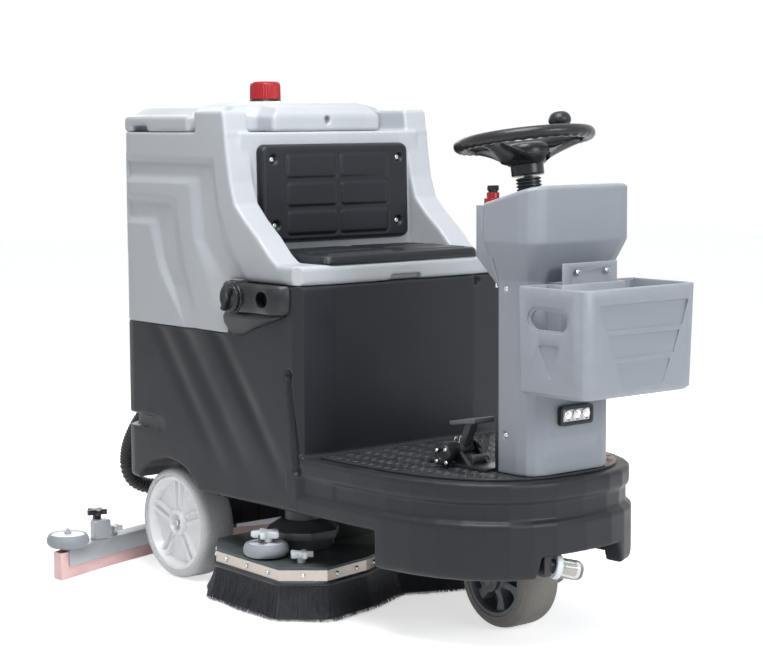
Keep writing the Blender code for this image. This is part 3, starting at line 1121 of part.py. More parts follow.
def make_squeegee():
    beam = slab(squeegee_strip(0.0, -BEAM_WIDTH, 0.545), BEAM_LOW, BEAM_HIGH)
    cut(beam, slab(squeegee_strip(-0.005, -BEAM_WIDTH + 0.005, 0.60), BEAM_LOW - 0.02, BEAM_HIGH - 0.006))
    for side in (-1, 1):
        x = side * 0.400
        y = ahead(squeegee_line(x) - 0.028)
        yoke = box((x - 0.026, y - 0.024, BEAM_HIGH - 0.002), (x + 0.026, y + 0.006, 0.134))
        join(beam, bevel(yoke, 0.004, 1))
    port = rod((0, ahead(SQUEEGEE_MIDDLE - BEAM_WIDTH / 2), BEAM_HIGH - 0.003),
               (0, ahead(SQUEEGEE_MIDDLE - BEAM_WIDTH / 2), 0.130), 0.030, 24)
    join(beam, port)
    cut(beam, rod((0, ahead(SQUEEGEE_MIDDLE - BEAM_WIDTH / 2), 0.05),
                  (0, ahead(SQUEEGEE_MIDDLE - BEAM_WIDTH / 2), 0.2), HOSE_R + GAP, 20))
    for side in (-1, 1):
        x = side * (ARM_HALF + 0.006 + GAP)
        lug = slab([(ahead(squeegee_line(x) - 0.004), BEAM_HIGH - 0.002), (ahead(squeegee_line(x) - 0.044), BEAM_HIGH - 0.002),
                    (ahead(squeegee_line(x) - 0.034), 0.128), (ahead(squeegee_line(x) - 0.014), 0.128)],
                   x - 0.006, x + 0.006, "YZ")
        join(beam, lug)
    for side in (-1, 1):
        at = tip_bolt(side) - Vector((0, 0, 0.002))
        join(beam, rod(at, at + Vector((0, 0, 0.054)), 0.005, 12))
        join(beam, rod(at + Vector((0, 0, 0.0405)), at + Vector((0, 0, 0.047)), 0.009, 6))
        x = side * 0.340
        low = Vector((x, ahead(squeegee_line(x) - 0.024), BEAM_HIGH - 0.002))
        join(beam, star_knob(low, 0.018, 0.014, 0.028))
    finish_part(beam, "squeegee_beam", BEAM_METAL)

    blade = slab(squeegee_strip(-0.0053, -BEAM_WIDTH + 0.0053, SQUEEGEE_HALF), 0.0, BEAM_HIGH - 0.006 - GAP)
    cut(blade, slab(squeegee_strip(-0.0053 - BLADE_THICK, -BEAM_WIDTH + 0.0053 + BLADE_THICK,
                                   SQUEEGEE_HALF - BLADE_THICK), -0.02, BEAM_HIGH + 0.02))
    finish_part(blade, "squeegee_blade", BLADE_RUBBER)

    arm_x = ARM_HALF
    arm = box((-arm_x, LIFT_PIVOT[1] - 0.010, 0.196), (-arm_x + 0.012, LIFT_PIVOT[1] + 0.010, 0.230))
    for side in (-1, 1):
        low_x, high_x = sorted((side * arm_x, side * (arm_x - 0.010)))
        reach = ahead(squeegee_line(arm_x) - 0.024)
        link = slab([(LIFT_PIVOT[1] - 0.012, 0.228), (LIFT_PIVOT[1] - 0.012, 0.204), (reach - 0.012, 0.098),
                     (reach + 0.014, 0.098), (reach + 0.014, 0.122)], low_x, high_x, "YZ")
        join(arm, link)
    join(arm, rod((-0.118, LIFT_PIVOT[1], LIFT_PIVOT[2]), (0.118, LIFT_PIVOT[1], LIFT_PIVOT[2]), LIFT_PIN_R, 14))
    join(arm, box((-arm_x, ahead(-1.20), 0.150), (arm_x, ahead(-1.215), 0.170)))
    finish_part(arm, "squeegee_arm", FRAME_STEEL, LIFT_PIVOT)

    for side, name in ((-1, "right"), (1, "left")):
        at = tip_bolt(side) + Vector((0, 0, GAP))
        roller = turned([(0.0, 0.036), (0.046, 0.038), (0.054, 0.034), (0.0575, 0.024), (0.0575, 0.012),
                         (0.054, 0.003), (0.0, 0.002)], at, (0, 0, 1), 20)
        cut(roller, rod(at - Vector((0, 0, 0.02)), at + Vector((0, 0, 0.05)), 0.0055, 12))
        finish_part(roller, "tip_roller_" + name, ROLLER_GREY, at)
        x = side * 0.400
        high = Vector((x, ahead(squeegee_line(x) - 0.037), 0.1343))
        finish_part(star_knob(high, 0.016, 0.012, 0.026), "yoke_knob_" + name, BLACK_PLASTIC, high)


# ---------------------------------------------------------------- suction hose
PORT = Vector((-0.150, ahead(BODY_REAR) + 0.0, 0.455))
HOSE_ROUTE = [
    (-0.150, ahead(-1.236), 0.455), (-0.150, ahead(-1.262), 0.453), (-0.152, ahead(-1.300), 0.438),
    (-0.158, ahead(-1.345), 0.402), (-0.166, ahead(-1.390), 0.350), (-0.170, ahead(-1.425), 0.290),
    (-0.166, ahead(-1.440), 0.235), (-0.150, ahead(-1.442), 0.195), (-0.120, ahead(-1.436), 0.172),
    (-0.085, ahead(-1.424), 0.164), (-0.052, ahead(-1.404), 0.166), (-0.022, ahead(-1.378), 0.170),
    (-0.004, ahead(-1.356), 0.164), (0.0, ahead(-1.345), 0.146), (0.0, ahead(-1.343), 0.1303),
]


def smooth_route(points, spacing):
    """Points at an even spacing on a smooth curve through the route's own points."""
    places = [Vector(point) for point in points]
    padded = [places[0] * 2 - places[1]] + places + [places[-1] * 2 - places[-2]]
    fine = []
    for i in range(1, len(padded) - 2):
        a, b, c, d = padded[i - 1:i + 3]
        for j in range(20):
            t = j / 20
            fine.append(0.5 * (2 * b + (c - a) * t + (2 * a - 5 * b + 4 * c - d) * t ** 2
                               + (3 * b - a - 3 * c + d) * t ** 3))
    fine.append(places[-1])
    even, travelled = [fine[0]], 0.0
    for first, second in zip(fine, fine[1:]):
        travelled += (second - first).length
        if travelled >= spacing:
            even.append(second)
            travelled = 0.0
    if (even[-1] - fine[-1]).length < spacing * 0.5:
        even.pop()
    return even + [fine[-1]]


def make_hose():
    start = ahead(BODY_REAR) + GAP
    port = rod((PORT.x, start, PORT.z), (PORT.x, ahead(-1.200), PORT.z), 0.040, 24)
    join(port, rod((PORT.x, start + 0.004, PORT.z), (PORT.x, ahead(-1.2345), PORT.z), 0.029, 20))
    finish_part(port, "hose_port", BLACK_PLASTIC)
    hose = pipe(smooth_route(HOSE_ROUTE, 0.020), HOSE_R, 3)
    finish_part(hose, "suction_hose", BLACK_RUBBER)


make_lower_body()
make_frame()
make_rear_axle()
make_battery()
make_rear_wheel(-1, "right")
make_rear_wheel(1, "left")
make_front_wheel()
make_fork()
make_gearbox()
make_column()
make_headlight()
make_basket()
make_steering()
make_mat()
make_pedal()
make_filler()
make_filter()
make_isolator()
make_tank()
make_hinge()
make_lid()
make_pads()
make_vacuum()
make_brush_deck()
make_squeegee()
make_hose()
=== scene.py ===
import json
import math
import random

import bmesh
import bpy
import numpy as np
from mathutils import Matrix, Vector, noise
from mathutils.bvhtree import BVHTree

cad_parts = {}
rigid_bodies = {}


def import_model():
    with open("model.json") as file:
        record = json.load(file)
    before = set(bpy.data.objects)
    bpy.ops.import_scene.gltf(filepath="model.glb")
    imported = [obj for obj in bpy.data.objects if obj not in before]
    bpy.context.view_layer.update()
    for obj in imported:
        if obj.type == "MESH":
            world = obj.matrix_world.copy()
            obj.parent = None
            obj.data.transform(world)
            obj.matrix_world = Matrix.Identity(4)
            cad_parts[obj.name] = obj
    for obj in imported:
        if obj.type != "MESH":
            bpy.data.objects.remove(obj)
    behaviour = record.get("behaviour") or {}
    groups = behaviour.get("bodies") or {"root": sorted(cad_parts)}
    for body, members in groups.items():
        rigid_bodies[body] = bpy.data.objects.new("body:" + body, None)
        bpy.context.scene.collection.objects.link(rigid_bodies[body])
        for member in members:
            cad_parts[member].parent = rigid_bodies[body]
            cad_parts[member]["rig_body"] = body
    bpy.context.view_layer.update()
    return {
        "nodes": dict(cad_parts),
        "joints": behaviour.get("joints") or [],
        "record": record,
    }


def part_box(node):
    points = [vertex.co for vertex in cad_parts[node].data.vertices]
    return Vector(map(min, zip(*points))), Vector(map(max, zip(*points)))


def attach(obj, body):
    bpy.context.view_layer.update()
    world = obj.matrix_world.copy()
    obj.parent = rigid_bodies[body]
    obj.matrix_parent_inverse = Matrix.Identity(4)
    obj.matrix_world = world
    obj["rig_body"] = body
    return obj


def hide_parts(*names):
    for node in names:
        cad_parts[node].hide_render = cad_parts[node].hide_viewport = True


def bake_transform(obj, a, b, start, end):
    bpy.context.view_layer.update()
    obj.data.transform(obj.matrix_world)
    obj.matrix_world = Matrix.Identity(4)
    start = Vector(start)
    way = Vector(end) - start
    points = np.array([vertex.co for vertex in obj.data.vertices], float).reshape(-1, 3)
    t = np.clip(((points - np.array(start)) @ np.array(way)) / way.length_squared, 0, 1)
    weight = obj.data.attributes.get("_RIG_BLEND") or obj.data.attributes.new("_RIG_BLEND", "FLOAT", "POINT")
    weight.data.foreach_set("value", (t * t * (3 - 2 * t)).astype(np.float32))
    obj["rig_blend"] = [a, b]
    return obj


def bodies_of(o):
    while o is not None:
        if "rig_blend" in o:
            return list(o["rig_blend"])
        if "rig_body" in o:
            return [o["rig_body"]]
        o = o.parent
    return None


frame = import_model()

NODES = frame["nodes"]
JOINTS = {j["name"]: j for j in frame["joints"]}
RECORD_SLOTS = {s["node"]: s["material_slot"] for s in frame["record"]["subparts"]}
RNG = random.Random(7)
SIDES = ((-1, "right"), (1, "left"))
UP, ALONG_X, OUT_RIGHT = (0, 0, 1), (1, 0, 0), (-1, 0, 0)

FRONT_AXLE_Y = -0.469           # stations along the machine are measured from the front axle
BODY_HALF = 0.345
BODY_REAR = -1.19
SEAT_FRONT_Y = -0.085
RELIEF = 0.0125                 # depth of the tank's moulded relief
BOLT_R = 0.0056                 # bolts of the rollers and knobs, with their play
BUSH_R = 0.0105                 # inner radius of what sits on the steering shaft and on the front axle


def ahead(station):
    """Y of a point this far ahead of the front axle."""
    return FRONT_AXLE_Y - station


# ---------------------------------------------------------------- camera, floor and light
def preset(node, **values):
    """Sets a node's own settings, or its inputs by name."""
    for key, value in values.items():
        if hasattr(node, key):
            setattr(node, key, value)
        else:
            node.inputs[key.replace("_", " ")].default_value = value
    return node


def tools(tree):
    """Two short calls: one adds a shader node with its values, one links two sockets."""
    return lambda kind, **values: preset(tree.nodes.new("ShaderNode" + kind), **values), tree.links.new


def placed(name, data):
    obj = bpy.data.objects.new(name, data)
    bpy.context.scene.collection.objects.link(obj)
    return obj


def make_camera():
    data = bpy.data.cameras.new("camera")
    data.lens, data.sensor_width = 97.53, 36.0
    data.clip_start, data.clip_end = 0.1, 60.0
    cam = placed("camera", data)
    look = Vector((0.6418, 0.7597, -0.1044)).normalized()
    right = look.cross(Vector(UP)).normalized()
    down = look.cross(right)
    roll = math.radians(0.266)
    across = right * math.cos(roll) + down * math.sin(roll)
    fall = down * math.cos(roll) - right * math.sin(roll)
    turn = Matrix((across, -fall, -look)).transposed().to_4x4()
    cam.matrix_world = Matrix.Translation((-3.455, -4.075, 1.25)) @ turn
    bpy.context.scene.camera = cam


def area_light(name, at, towards, size, power, colour=(1, 1, 1)):
    data = bpy.data.lights.new(name, "AREA")
    data.shape, data.size, data.size_y = "RECTANGLE", size[0], size[1]
    data.energy, data.color = power, colour
    light = placed(name, data)
    light.location = at
    light.rotation_euler = (Vector(towards) - Vector(at)).to_track_quat("-Z", "Y").to_euler()


def camera_or_mirror(tree):
    """1 where a ray comes from the camera, or from glass or a mirror."""
    add, link = tools(tree)
    rays = add("LightPath").outputs
    first, second = add("Math", operation="MAXIMUM"), add("Math", operation="MAXIMUM")
    link(rays["Is Camera Ray"], first.inputs[0])
    link(rays["Is Glossy Ray"], first.inputs[1])
    link(first.outputs[0], second.inputs[0])
    link(rays["Is Transmission Ray"], second.inputs[1])
    return second.outputs[0]


def make_world():
    world = bpy.data.worlds.new("studio")
    bpy.context.scene.world = world
    world.use_nodes = True
    tree = world.node_tree
    tree.nodes.clear()
    add, link = tools(tree)
    lit = add("Background", Color=(0.93, 0.96, 1.0, 1), Strength=0.36)
    seen = add("Background", Color=(1, 1, 1, 1), Strength=1.0)
    mix = add("MixShader")
    link(camera_or_mirror(tree), mix.inputs["Fac"])
    link(lit.outputs[0], mix.inputs[1])
    link(seen.outputs[0], mix.inputs[2])
    link(mix.outputs[0], add("OutputWorld").inputs["Surface"])


def make_floor():
    bm = bmesh.new()
    bmesh.ops.create_grid(bm, x_segments=8, y_segments=8, size=14)
    mesh = bpy.data.meshes.new("floor")
    bm.to_mesh(mesh)
    bm.free()
    floor = placed("floor", mesh)
    floor.location.z = -0.0008
    look = bpy.data.materials.new("floor_white")
    look.use_nodes = True
    tree = look.node_tree
    add, link = tools(tree)
    shader = preset(tree.nodes["Principled BSDF"], Base_Color=(0.90, 0.90, 0.90, 1), Roughness=0.85)
    glow, both = add("Emission", Color=(1, 1, 1, 1)), add("AddShader")
    share = add("Math", operation="MULTIPLY")
    share.inputs[1].default_value = 0.62
    link(camera_or_mirror(tree), share.inputs[0])
    link(share.outputs[0], glow.inputs["Strength"])
    link(shader.outputs[0], both.inputs[0])
    link(glow.outputs[0], both.inputs[1])
    link(both.outputs[0], tree.nodes["Material Output"].inputs["Surface"])
    floor.data.materials.append(look)


def make_light():
    area_light("overhead", (-0.9, -0.9, 3.3), (-0.1, 0, 0.4), (1.4, 1.8), 98)
    area_light("key", (-3.3, -1.2, 2.5), (0, 0, 0.6), (1.5, 1.5), 3, (1.0, 0.985, 0.965))
    area_light("front", (0.5, -4.4, 2.2), (0, 0, 0.6), (1.8, 1.4), 80, (0.96, 0.98, 1.0))
    area_light("rear", (1.6, 3.6, 2.2), (0, 0, 0.7), (2.2, 1.8), 34)
    bpy.context.scene.view_settings.view_transform = "Standard"


# ---------------------------------------------------------------- materials
def surface(name, colour, rough=0.45, drift=0.06, grain=0.10, grain_size=900.0, wear=0.0, worn=None,
            metallic=0.0, dust=0.0, bump=0.0003, streak=None, coat=0.0, sheen=0.0, spread=0.10, specks=0.0,
            gloss=0.5):
    """A procedural finish: tint that drifts, fine grain, rougher patches, worn edges and a little dust."""
    made = bpy.data.materials.new(name)
    made.use_nodes = True
    shader = preset(made.node_tree.nodes["Principled BSDF"], Metallic=metallic, Coat_Weight=coat,
                    Specular_IOR_Level=gloss, Sheen_Weight=sheen)
    add, link = tools(made.node_tree)

    def cloud(place, **values):
        node = add("TexNoise", **values)
        link(place, node.inputs["Vector"])
        return node.outputs["Fac"]

    def mixed(factor, a, b):
        node = add("Mix", data_type="RGBA", blend_type="MIX")
        for value, socket in ((factor, node.inputs[0]), (a, node.inputs[6]), (b, node.inputs[7])):
            if isinstance(value, float):
                socket.default_value = value
            elif isinstance(value, tuple):
                socket.default_value = (*value, 1.0)
            else:
                link(value, socket)
        return node.outputs[2]

    def ramp(source, low, high, a=0.0, b=1.0):
        node = add("MapRange", From_Min=low, From_Max=high, To_Min=a, To_Max=b)
        link(source, node.inputs["Value"])
        return node.outputs["Result"]

    def product(a, b):
        node = add("Math", operation="MULTIPLY")
        link(a, node.inputs[0])
        link(b, node.inputs[1])
        return node.outputs[0]

    def scaled(factor):
        return tuple(min(1.0, c * factor) for c in colour)

    place = fine_place = add("TexCoord").outputs["Object"]
    if streak:
        stretch = add("Mapping", Scale=streak)
        link(place, stretch.inputs["Vector"])
        fine_place = stretch.outputs[0]
    broad = cloud(place, Scale=5.0, Detail=4.0, Roughness=0.6)
    fine = cloud(fine_place, Scale=grain_size, Detail=3.0, Roughness=0.7)
    tint = mixed(ramp(broad, 0.32, 0.68), scaled(1 - drift), scaled(1 + drift))
    tint = mixed(0.5, tint, mixed(ramp(fine, 0.35, 0.65), scaled(1 - grain), scaled(1 + grain)))
    if specks:
        dots = cloud(place, Scale=160.0, Detail=2.0)
        tint = mixed(ramp(dots, 0.66, 0.74, 0.0, specks), tint, scaled(0.45))
    if wear:
        edge = ramp(add("NewGeometry").outputs["Pointiness"], 0.515, 0.57)
        rub = ramp(cloud(place, Scale=34.0, Detail=5.0), 0.38, 0.62, 0.15, wear)
        tint = mixed(product(edge, rub), tint, worn or tuple(min(1, c * 1.7 + 0.05) for c in colour))
    if dust:
        axes = add("SeparateXYZ")
        link(add("NewGeometry").outputs["Normal"], axes.inputs[0])
        film = ramp(cloud(place, Scale=18.0, Detail=6.0, Roughness=0.65), 0.35, 0.75, 0.0, dust)
        tint = mixed(product(ramp(axes.outputs["Z"], 0.35, 0.95), film), tint, (0.42, 0.41, 0.39))
    link(tint, shader.inputs["Base Color"])
    patches = ramp(broad, 0.3, 0.7, max(0.03, rough - spread), min(1.0, rough + spread))
    link(patches, shader.inputs["Roughness"])
    if bump:
        relief = add("Bump", Strength=0.55, Distance=bump)
        link(fine, relief.inputs["Height"])
        link(relief.outputs[0], shader.inputs["Normal"])
    return made


def clear(name, tint, rough, weight):
    made = surface(name, tint, rough, 0.02, 0.02, bump=0.00005, spread=0.03)
    preset(made.node_tree.nodes["Principled BSDF"], Transmission_Weight=weight, IOR=1.46)
    return made


def finish(*values, **more):
    return values, more


FINISHES = {  # colour, roughness, drift, grain, grain size, wear
    "light_plastic": finish((0.44, 0.465, 0.495), 0.42, 0.05, 0.07, 700, 0.25, dust=0.10),
    "mid_plastic": finish((0.262, 0.284, 0.318), 0.42, 0.05, 0.08, 700, 0.25, dust=0.08),
    "charcoal_plastic": finish((0.0125, 0.0145, 0.0195), 0.42, 0.12, 0.22, 800, 0.30, dust=0.04, bump=0.0004,
                               gloss=0.30),
    "black_plastic": finish((0.010, 0.011, 0.014), 0.32, 0.10, 0.18, 900, 0.25, dust=0.03, gloss=0.36),
    "pad_foam": finish((0.0080, 0.0102, 0.0155), 0.38, 0.12, 0.25, 520, 0.20, dust=0.02, bump=0.0005,
                       gloss=0.30),
    "black_rubber": finish((0.012, 0.013, 0.018), 0.42, 0.10, 0.2, 600, 0.15, dust=0.03, gloss=0.4),
    "mat_rubber": finish((0.008, 0.010, 0.015), 0.34, 0.12, 0.25, 500, 0.45, dust=0.07, gloss=0.4),
    "tyre_rubber": finish((0.60, 0.61, 0.62), 0.66, 0.10, 0.30, 330, 0.2, bump=0.0011, specks=0.25),
    "dark_tyre": finish((0.205, 0.190, 0.175), 0.72, 0.16, 0.32, 300, 0.2, bump=0.0010, specks=0.3),
    "silver_rim": finish((0.86, 0.87, 0.89), 0.30, 0.03, 0.04, 900, 0.2, coat=0.15),
    "dark_rim": finish((0.10, 0.11, 0.125), 0.42, 0.08, 0.12, 800, 0.35),
    "frame_steel": finish((0.022, 0.022, 0.024), 0.38, 0.12, 0.2, 700, 0.5, (0.30, 0.28, 0.26)),
    "bright_steel": finish((0.60, 0.61, 0.63), 0.24, 0.06, 0.10, 400, metallic=1.0, bump=0.00006),
    "red_plastic": finish((0.33, 0.006, 0.010), 0.30, 0.06, 0.06, 900, 0.1, gloss=0.4),
    "deck_paint": finish((0.035, 0.048, 0.052), 0.44, 0.10, 0.22, 900, 0.4, (0.16, 0.18, 0.18), dust=0.05,
                         specks=0.15),
    "bristle": finish((0.036, 0.041, 0.053), 0.30, 0.25, 0.35, 240, sheen=0.15),
    "brush_nylon": finish((0.03, 0.05, 0.11), 0.48, 0.2, 0.35, 260),
    "roller_grey": finish((0.30, 0.33, 0.355), 0.52, 0.07, 0.14, 600, 0.2),
    "white_plastic": finish((0.71, 0.75, 0.79), 0.32, 0.03, 0.05, 900, 0.15, coat=0.15),
    "beam_metal": finish((0.42, 0.44, 0.47), 0.38, 0.05, 0.12, 260, 0.2, metallic=0.45,
                         streak=(1.0, 12.0, 12.0), bump=0.00008),
    "band_metal": finish((0.41, 0.37, 0.34), 0.30, 0.06, 0.10, 300, metallic=1.0, streak=(1, 1, 16),
                         bump=0.00006),
    "battery_case": finish((0.035, 0.036, 0.042), 0.5, 0.1, 0.15, 800),
    "motor_grey": finish((0.085, 0.09, 0.10), 0.46, 0.10, 0.2, 700, 0.35, dust=0.06),
    "orange_plastic": finish((0.85, 0.33, 0.03), 0.35, 0.05, 0.06, 800),
    "lamp_silver": finish((0.45, 0.47, 0.50), 0.28, 0.05, 0.08, 500, metallic=0.7),
    "filter_mesh": finish((0.50, 0.45, 0.36), 0.6, 0.15, 0.5, 420, bump=0.001),
    "lamp_glow": finish((0.9, 0.9, 0.86), 0.2, 0.02, 0.02),
}
LOOKS = {name: surface(name, *values, **more) for name, (values, more) in FINISHES.items()}
LOOKS["clear_plastic"] = clear("clear_plastic", (0.90, 0.92, 0.93), 0.06, 0.9)
LOOKS["blade_rubber"] = clear("blade_rubber", (0.98, 0.66, 0.65), 0.40, 0.12)
preset(LOOKS["lamp_glow"].node_tree.nodes["Principled BSDF"], Emission_Color=(1, 0.98, 0.93, 1),
       Emission_Strength=0.35)


def tinted(look, colour, starts, ends):
    """Another tint in one corner, which fades in along X and Y from starts to ends."""
    add, link = tools(look.node_tree)
    split, both, mix = add("SeparateXYZ"), add("Math", operation="MULTIPLY"), add("Mix", data_type="RGBA")
    link(add("TexCoord").outputs["Object"], split.inputs[0])
    for i in range(2):
        edge = add("MapRange", From_Min=starts[i], From_Max=ends[i])
        link(split.outputs[i], edge.inputs["Value"])
        link(edge.outputs["Result"], both.inputs[i])
    base = look.node_tree.nodes["Principled BSDF"].inputs["Base Color"]
    link(both.outputs[0], mix.inputs[0])
    link(base.links[0].from_socket, mix.inputs[6])
    mix.inputs[7].default_value = (*colour, 1)
    link(mix.outputs[2], base)


tinted(LOOKS["mat_rubber"], (0.16, 0.075, 0.05), (0.13, -0.40), (0.17, -0.46))


# ---------------------------------------------------------------- pieces
def piece(name, mesh, body, look, smooth=True):
    obj = placed(name, mesh)
    mesh.materials.clear()
    mesh.materials.append(LOOKS[look])
    if smooth:
        smoothed(obj)
    if body:
        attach(obj, body)
    return obj


def smoothed(obj):
    obj.data.polygons.foreach_set("use_smooth", [True] * len(obj.data.polygons))


def stand_in(node, mesh, look, smooth=True):
    """A piece that rides on a CAD node's body and stands for it."""
    obj = piece(node + "_fine", mesh, body_of(node), look, smooth)
    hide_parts(node)
    return obj


def plain_mesh(name, points, faces):
    mesh = bpy.data.meshes.new(name)
    mesh.from_pydata([tuple(p) for p in points], [], [tuple(f) for f in faces])
    mesh.update()
    return mesh


def mesh_of(name, points, faces):
    """A mesh whose faces all look outward."""
    mesh = plain_mesh(name, points, faces)
    mesh.validate()
    bm = bmesh.new()
    bm.from_mesh(mesh)
    bmesh.ops.recalc_face_normals(bm, faces=bm.faces)
    bm.to_mesh(mesh)
    bm.free()
    return mesh


def skinned(name, rows, caps=True, closed=False):
    """A skin over rows of points that each run once round; caps shut the first and the last row."""
    n, count = len(rows[0]), len(rows)
    faces = []
    for a in range(count if closed else count - 1):
        b = (a + 1) % count
        faces += [(a * n + i, a * n + (i + 1) % n, b * n + (i + 1) % n, b * n + i) for i in range(n)]
    if caps:
        faces += [tuple(range(n))[::-1], tuple(range((count - 1) * n, count * n))]
    return mesh_of(name, [p for row in rows for p in row], faces)


def body_of(node):
    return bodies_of(NODES[node])[0]


def upright(node):
    """The foot, the radius and the height of an upright round node."""
    low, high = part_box(node)
    return Vector(((low.x + high.x) / 2, (low.y + high.y) / 2, low.z)), (high.x - low.x) / 2, high.z - low.z


def applied(obj):
    """Applies an object's modifiers to its own mesh."""
    depsgraph = bpy.context.evaluated_depsgraph_get()
    mesh = bpy.data.meshes.new_from_object(obj.evaluated_get(depsgraph))
    old = obj.data
    obj.modifiers.clear()
    obj.data = mesh
    if old.users == 0:
        bpy.data.meshes.remove(old)
    return obj


def clean_copy(node):
    """A copy of a CAD node's mesh with its flat faces whole again."""
    mesh = NODES[node].data.copy()
    bm = bmesh.new()
    bm.from_mesh(mesh)
    bmesh.ops.remove_doubles(bm, verts=bm.verts, dist=0.00002)
    bmesh.ops.dissolve_limit(bm, angle_limit=math.radians(0.6), verts=bm.verts, edges=bm.edges)
    bm.to_mesh(mesh)
    bm.free()
    return mesh


def settle(obj, node):
    """Gives a finished copy its node's body and place."""
    smoothed(obj)
    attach(obj, body_of(node))
    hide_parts(node)
    return obj


def refined(node, width=0.0012, segments=2, angle=32, look=None):
    """Stands for a CAD node: the same shape with rounded edges and a finish."""
    obj = piece(node + "_fine", clean_copy(node), None, look or RECORD_SLOTS[node])
    bevelled(obj, width, segments, angle)
    obj.data.set_sharp_from_angle(angle=math.radians(38))
    return settle(obj, node)


def bevelled(obj, width, segments, angle):
    edge = obj.modifiers.new("edge", "BEVEL")
    edge.width, edge.segments, edge.limit_method = width, segments, "ANGLE"
    edge.angle_limit = math.radians(angle)
    bpy.context.view_layer.update()
    applied(obj)


def eased(obj, width, segments=3, angle=28, sharp=38):
    """Rounds an object's edges."""
    bevelled(obj, width, segments, angle)
    smoothed(obj)
    obj.data.set_sharp_from_angle(angle=math.radians(sharp))
    return obj


def moulded(node, cell, shape, passes, extra=()):
    """Stands for a rotomoulded CAD node: soft edges everywhere, with relief pressed into its skin."""
    mesh = merged([clean_copy(node), *extra])
    obj = piece(node + "_fine", mesh, None, RECORD_SLOTS[node])
    grid = obj.modifiers.new("grid", "REMESH")
    grid.mode, grid.voxel_size, grid.adaptivity = "VOXEL", cell, 0.0
    relax = obj.modifiers.new("relax", "SMOOTH")
    relax.factor, relax.iterations = 0.5, passes
    bpy.context.view_layer.update()
    applied(obj)
    points = np.empty(len(obj.data.vertices) * 3)
    obj.data.vertices.foreach_get("co", points)
    obj.data.vertices.foreach_set("co", shape(points.reshape(-1, 3)).ravel())
    obj.data.update()
    settle(obj, node)


def carve(obj, cutters):
    """Cuts meshes out of an object."""
    made = []
    for mesh in cutters:
        made.append(placed("cutter", mesh))
        step = obj.modifiers.new("cut", "BOOLEAN")
        step.object, step.operation, step.solver = made[-1], "DIFFERENCE", "EXACT"
    bpy.context.view_layer.update()
    applied(obj)
    for tool in made:
        bpy.data.objects.remove(tool)


def frame_on(axis, at):
    """The place whose Z points along an axis."""
    return Matrix.Translation(Vector(at)) @ Vector(UP).rotation_difference(Vector(axis)).to_matrix().to_4x4()


def lathe(profile, at, axis, steps=64, wobble=None):
    """A turned shape from (radius, height) pairs; wobble changes a radius with its turn."""
    where, points, faces = frame_on(axis, at), [], []
    for i in range(steps):
        turn = 2 * math.pi * i / steps
        for radius, height in profile:
            if wobble:
                radius = wobble(radius, height, turn)
            points.append(where @ Vector((radius * math.cos(turn), radius * math.sin(turn), height)))
    n = len(profile)
    for i in range(steps):
        j = (i + 1) % steps
        for k in range(n - 1):
            faces.append((i * n + k, j * n + k, j * n + k + 1, i * n + k + 1))
    mesh = mesh_of("turned", points, faces)
    bm = bmesh.new()
    bm.from_mesh(mesh)
    bmesh.ops.remove_doubles(bm, verts=bm.verts, dist=1e-6)
    bmesh.ops.holes_fill(bm, edges=[e for e in bm.edges if e.is_boundary])
    bmesh.ops.recalc_face_normals(bm, faces=bm.faces)
    bm.to_mesh(mesh)
    bm.free()
    mesh.set_sharp_from_angle(angle=math.radians(50))
    return mesh


def rounded_profile(pairs, radius=0.001, steps=3):
    """Rounds the corners of a lathe profile."""
    points = [Vector(p) for p in pairs]
    out = [points[0]]
    for before, here, after in zip(points, points[1:], points[2:]):
        a, b = (before - here), (after - here)
        reach = min(radius, a.length * 0.45, b.length * 0.45)
        if reach < 1e-6:
            out.append(here)
            continue
        start, end = here + a.normalized() * reach, here + b.normalized() * reach
        for i in range(steps + 1):
            t = i / steps
            out.append(start * (1 - t) ** 2 + here * 2 * t * (1 - t) + end * t * t)
    return [tuple(p) for p in out + [points[-1]]]


def turned(profile, corner, at, axis=UP, steps=64, wobble=None, corner_steps=3):
    """A turned shape whose profile has rounded corners."""
    return lathe(rounded_profile(profile, corner, corner_steps), at, axis, steps, wobble)


def tube(points, radius, sides=12, closed=False, ripple=None):
    """A round tube along points. ripple(i) gives the radius at each one."""
    places = [Vector(p) for p in points]
    n = len(places)
    rows, side = [], None
    for i, here in enumerate(places):
        before = places[(i - 1) % n] if closed or i else here
        after = places[(i + 1) % n] if closed or i < n - 1 else here
        run = (after - before).normalized()
        side = (run.cross(Vector(UP)) if side is None else side - run * side.dot(run)).normalized()
        if side.length < 0.5:
            side = run.orthogonal().normalized()
        over = run.cross(side)
        r = ripple(i) if ripple else radius
        turns = [2 * math.pi * k / sides for k in range(sides)]
        rows.append([here + (side * math.cos(turn) + over * math.sin(turn)) * r for turn in turns])
    return skinned("tube", rows, not closed, closed)


def merged(meshes):
    bm = bmesh.new()
    for mesh in meshes:
        bm.from_mesh(mesh)
    out = bpy.data.meshes.new("merged")
    bm.to_mesh(out)
    bm.free()
    return out


def screw_head(at, axis, radius=0.006, height=0.0035):
    """A button head with a six-sided socket."""
    def socket(r, h, turn):
        return r * (0.93 + 0.07 * math.cos(6 * turn)) if r < radius * 0.5 else r
    shares = ((1, 0), (1, 0.35), (0.92, 0.7), (0.68, 0.95), (0.46, 1), (0.42, 0.98), (0.40, 0.35), (0, 0.35))
    return lathe([(a * radius, b * height) for a, b in shares], at, axis, 24, socket)


def star(at, radius, tall):
    """A star knob with five lobes, standing on a point."""
    def lobe(r, h, turn):
        return r * (0.74 + 0.26 * math.cos(5 * turn)) if r > radius * 0.5 else r
    shares = ((0, 0), (0.42, 0), (0.42, 0.35), (0.9, 0.40), (1, 0.52), (1, 0.84), (0.92, 1), (0.3, 1),
              (0, 0.97))
    return turned([(a * radius, b * tall) for a, b in shares], 0.0012, at, steps=90, wobble=lobe)


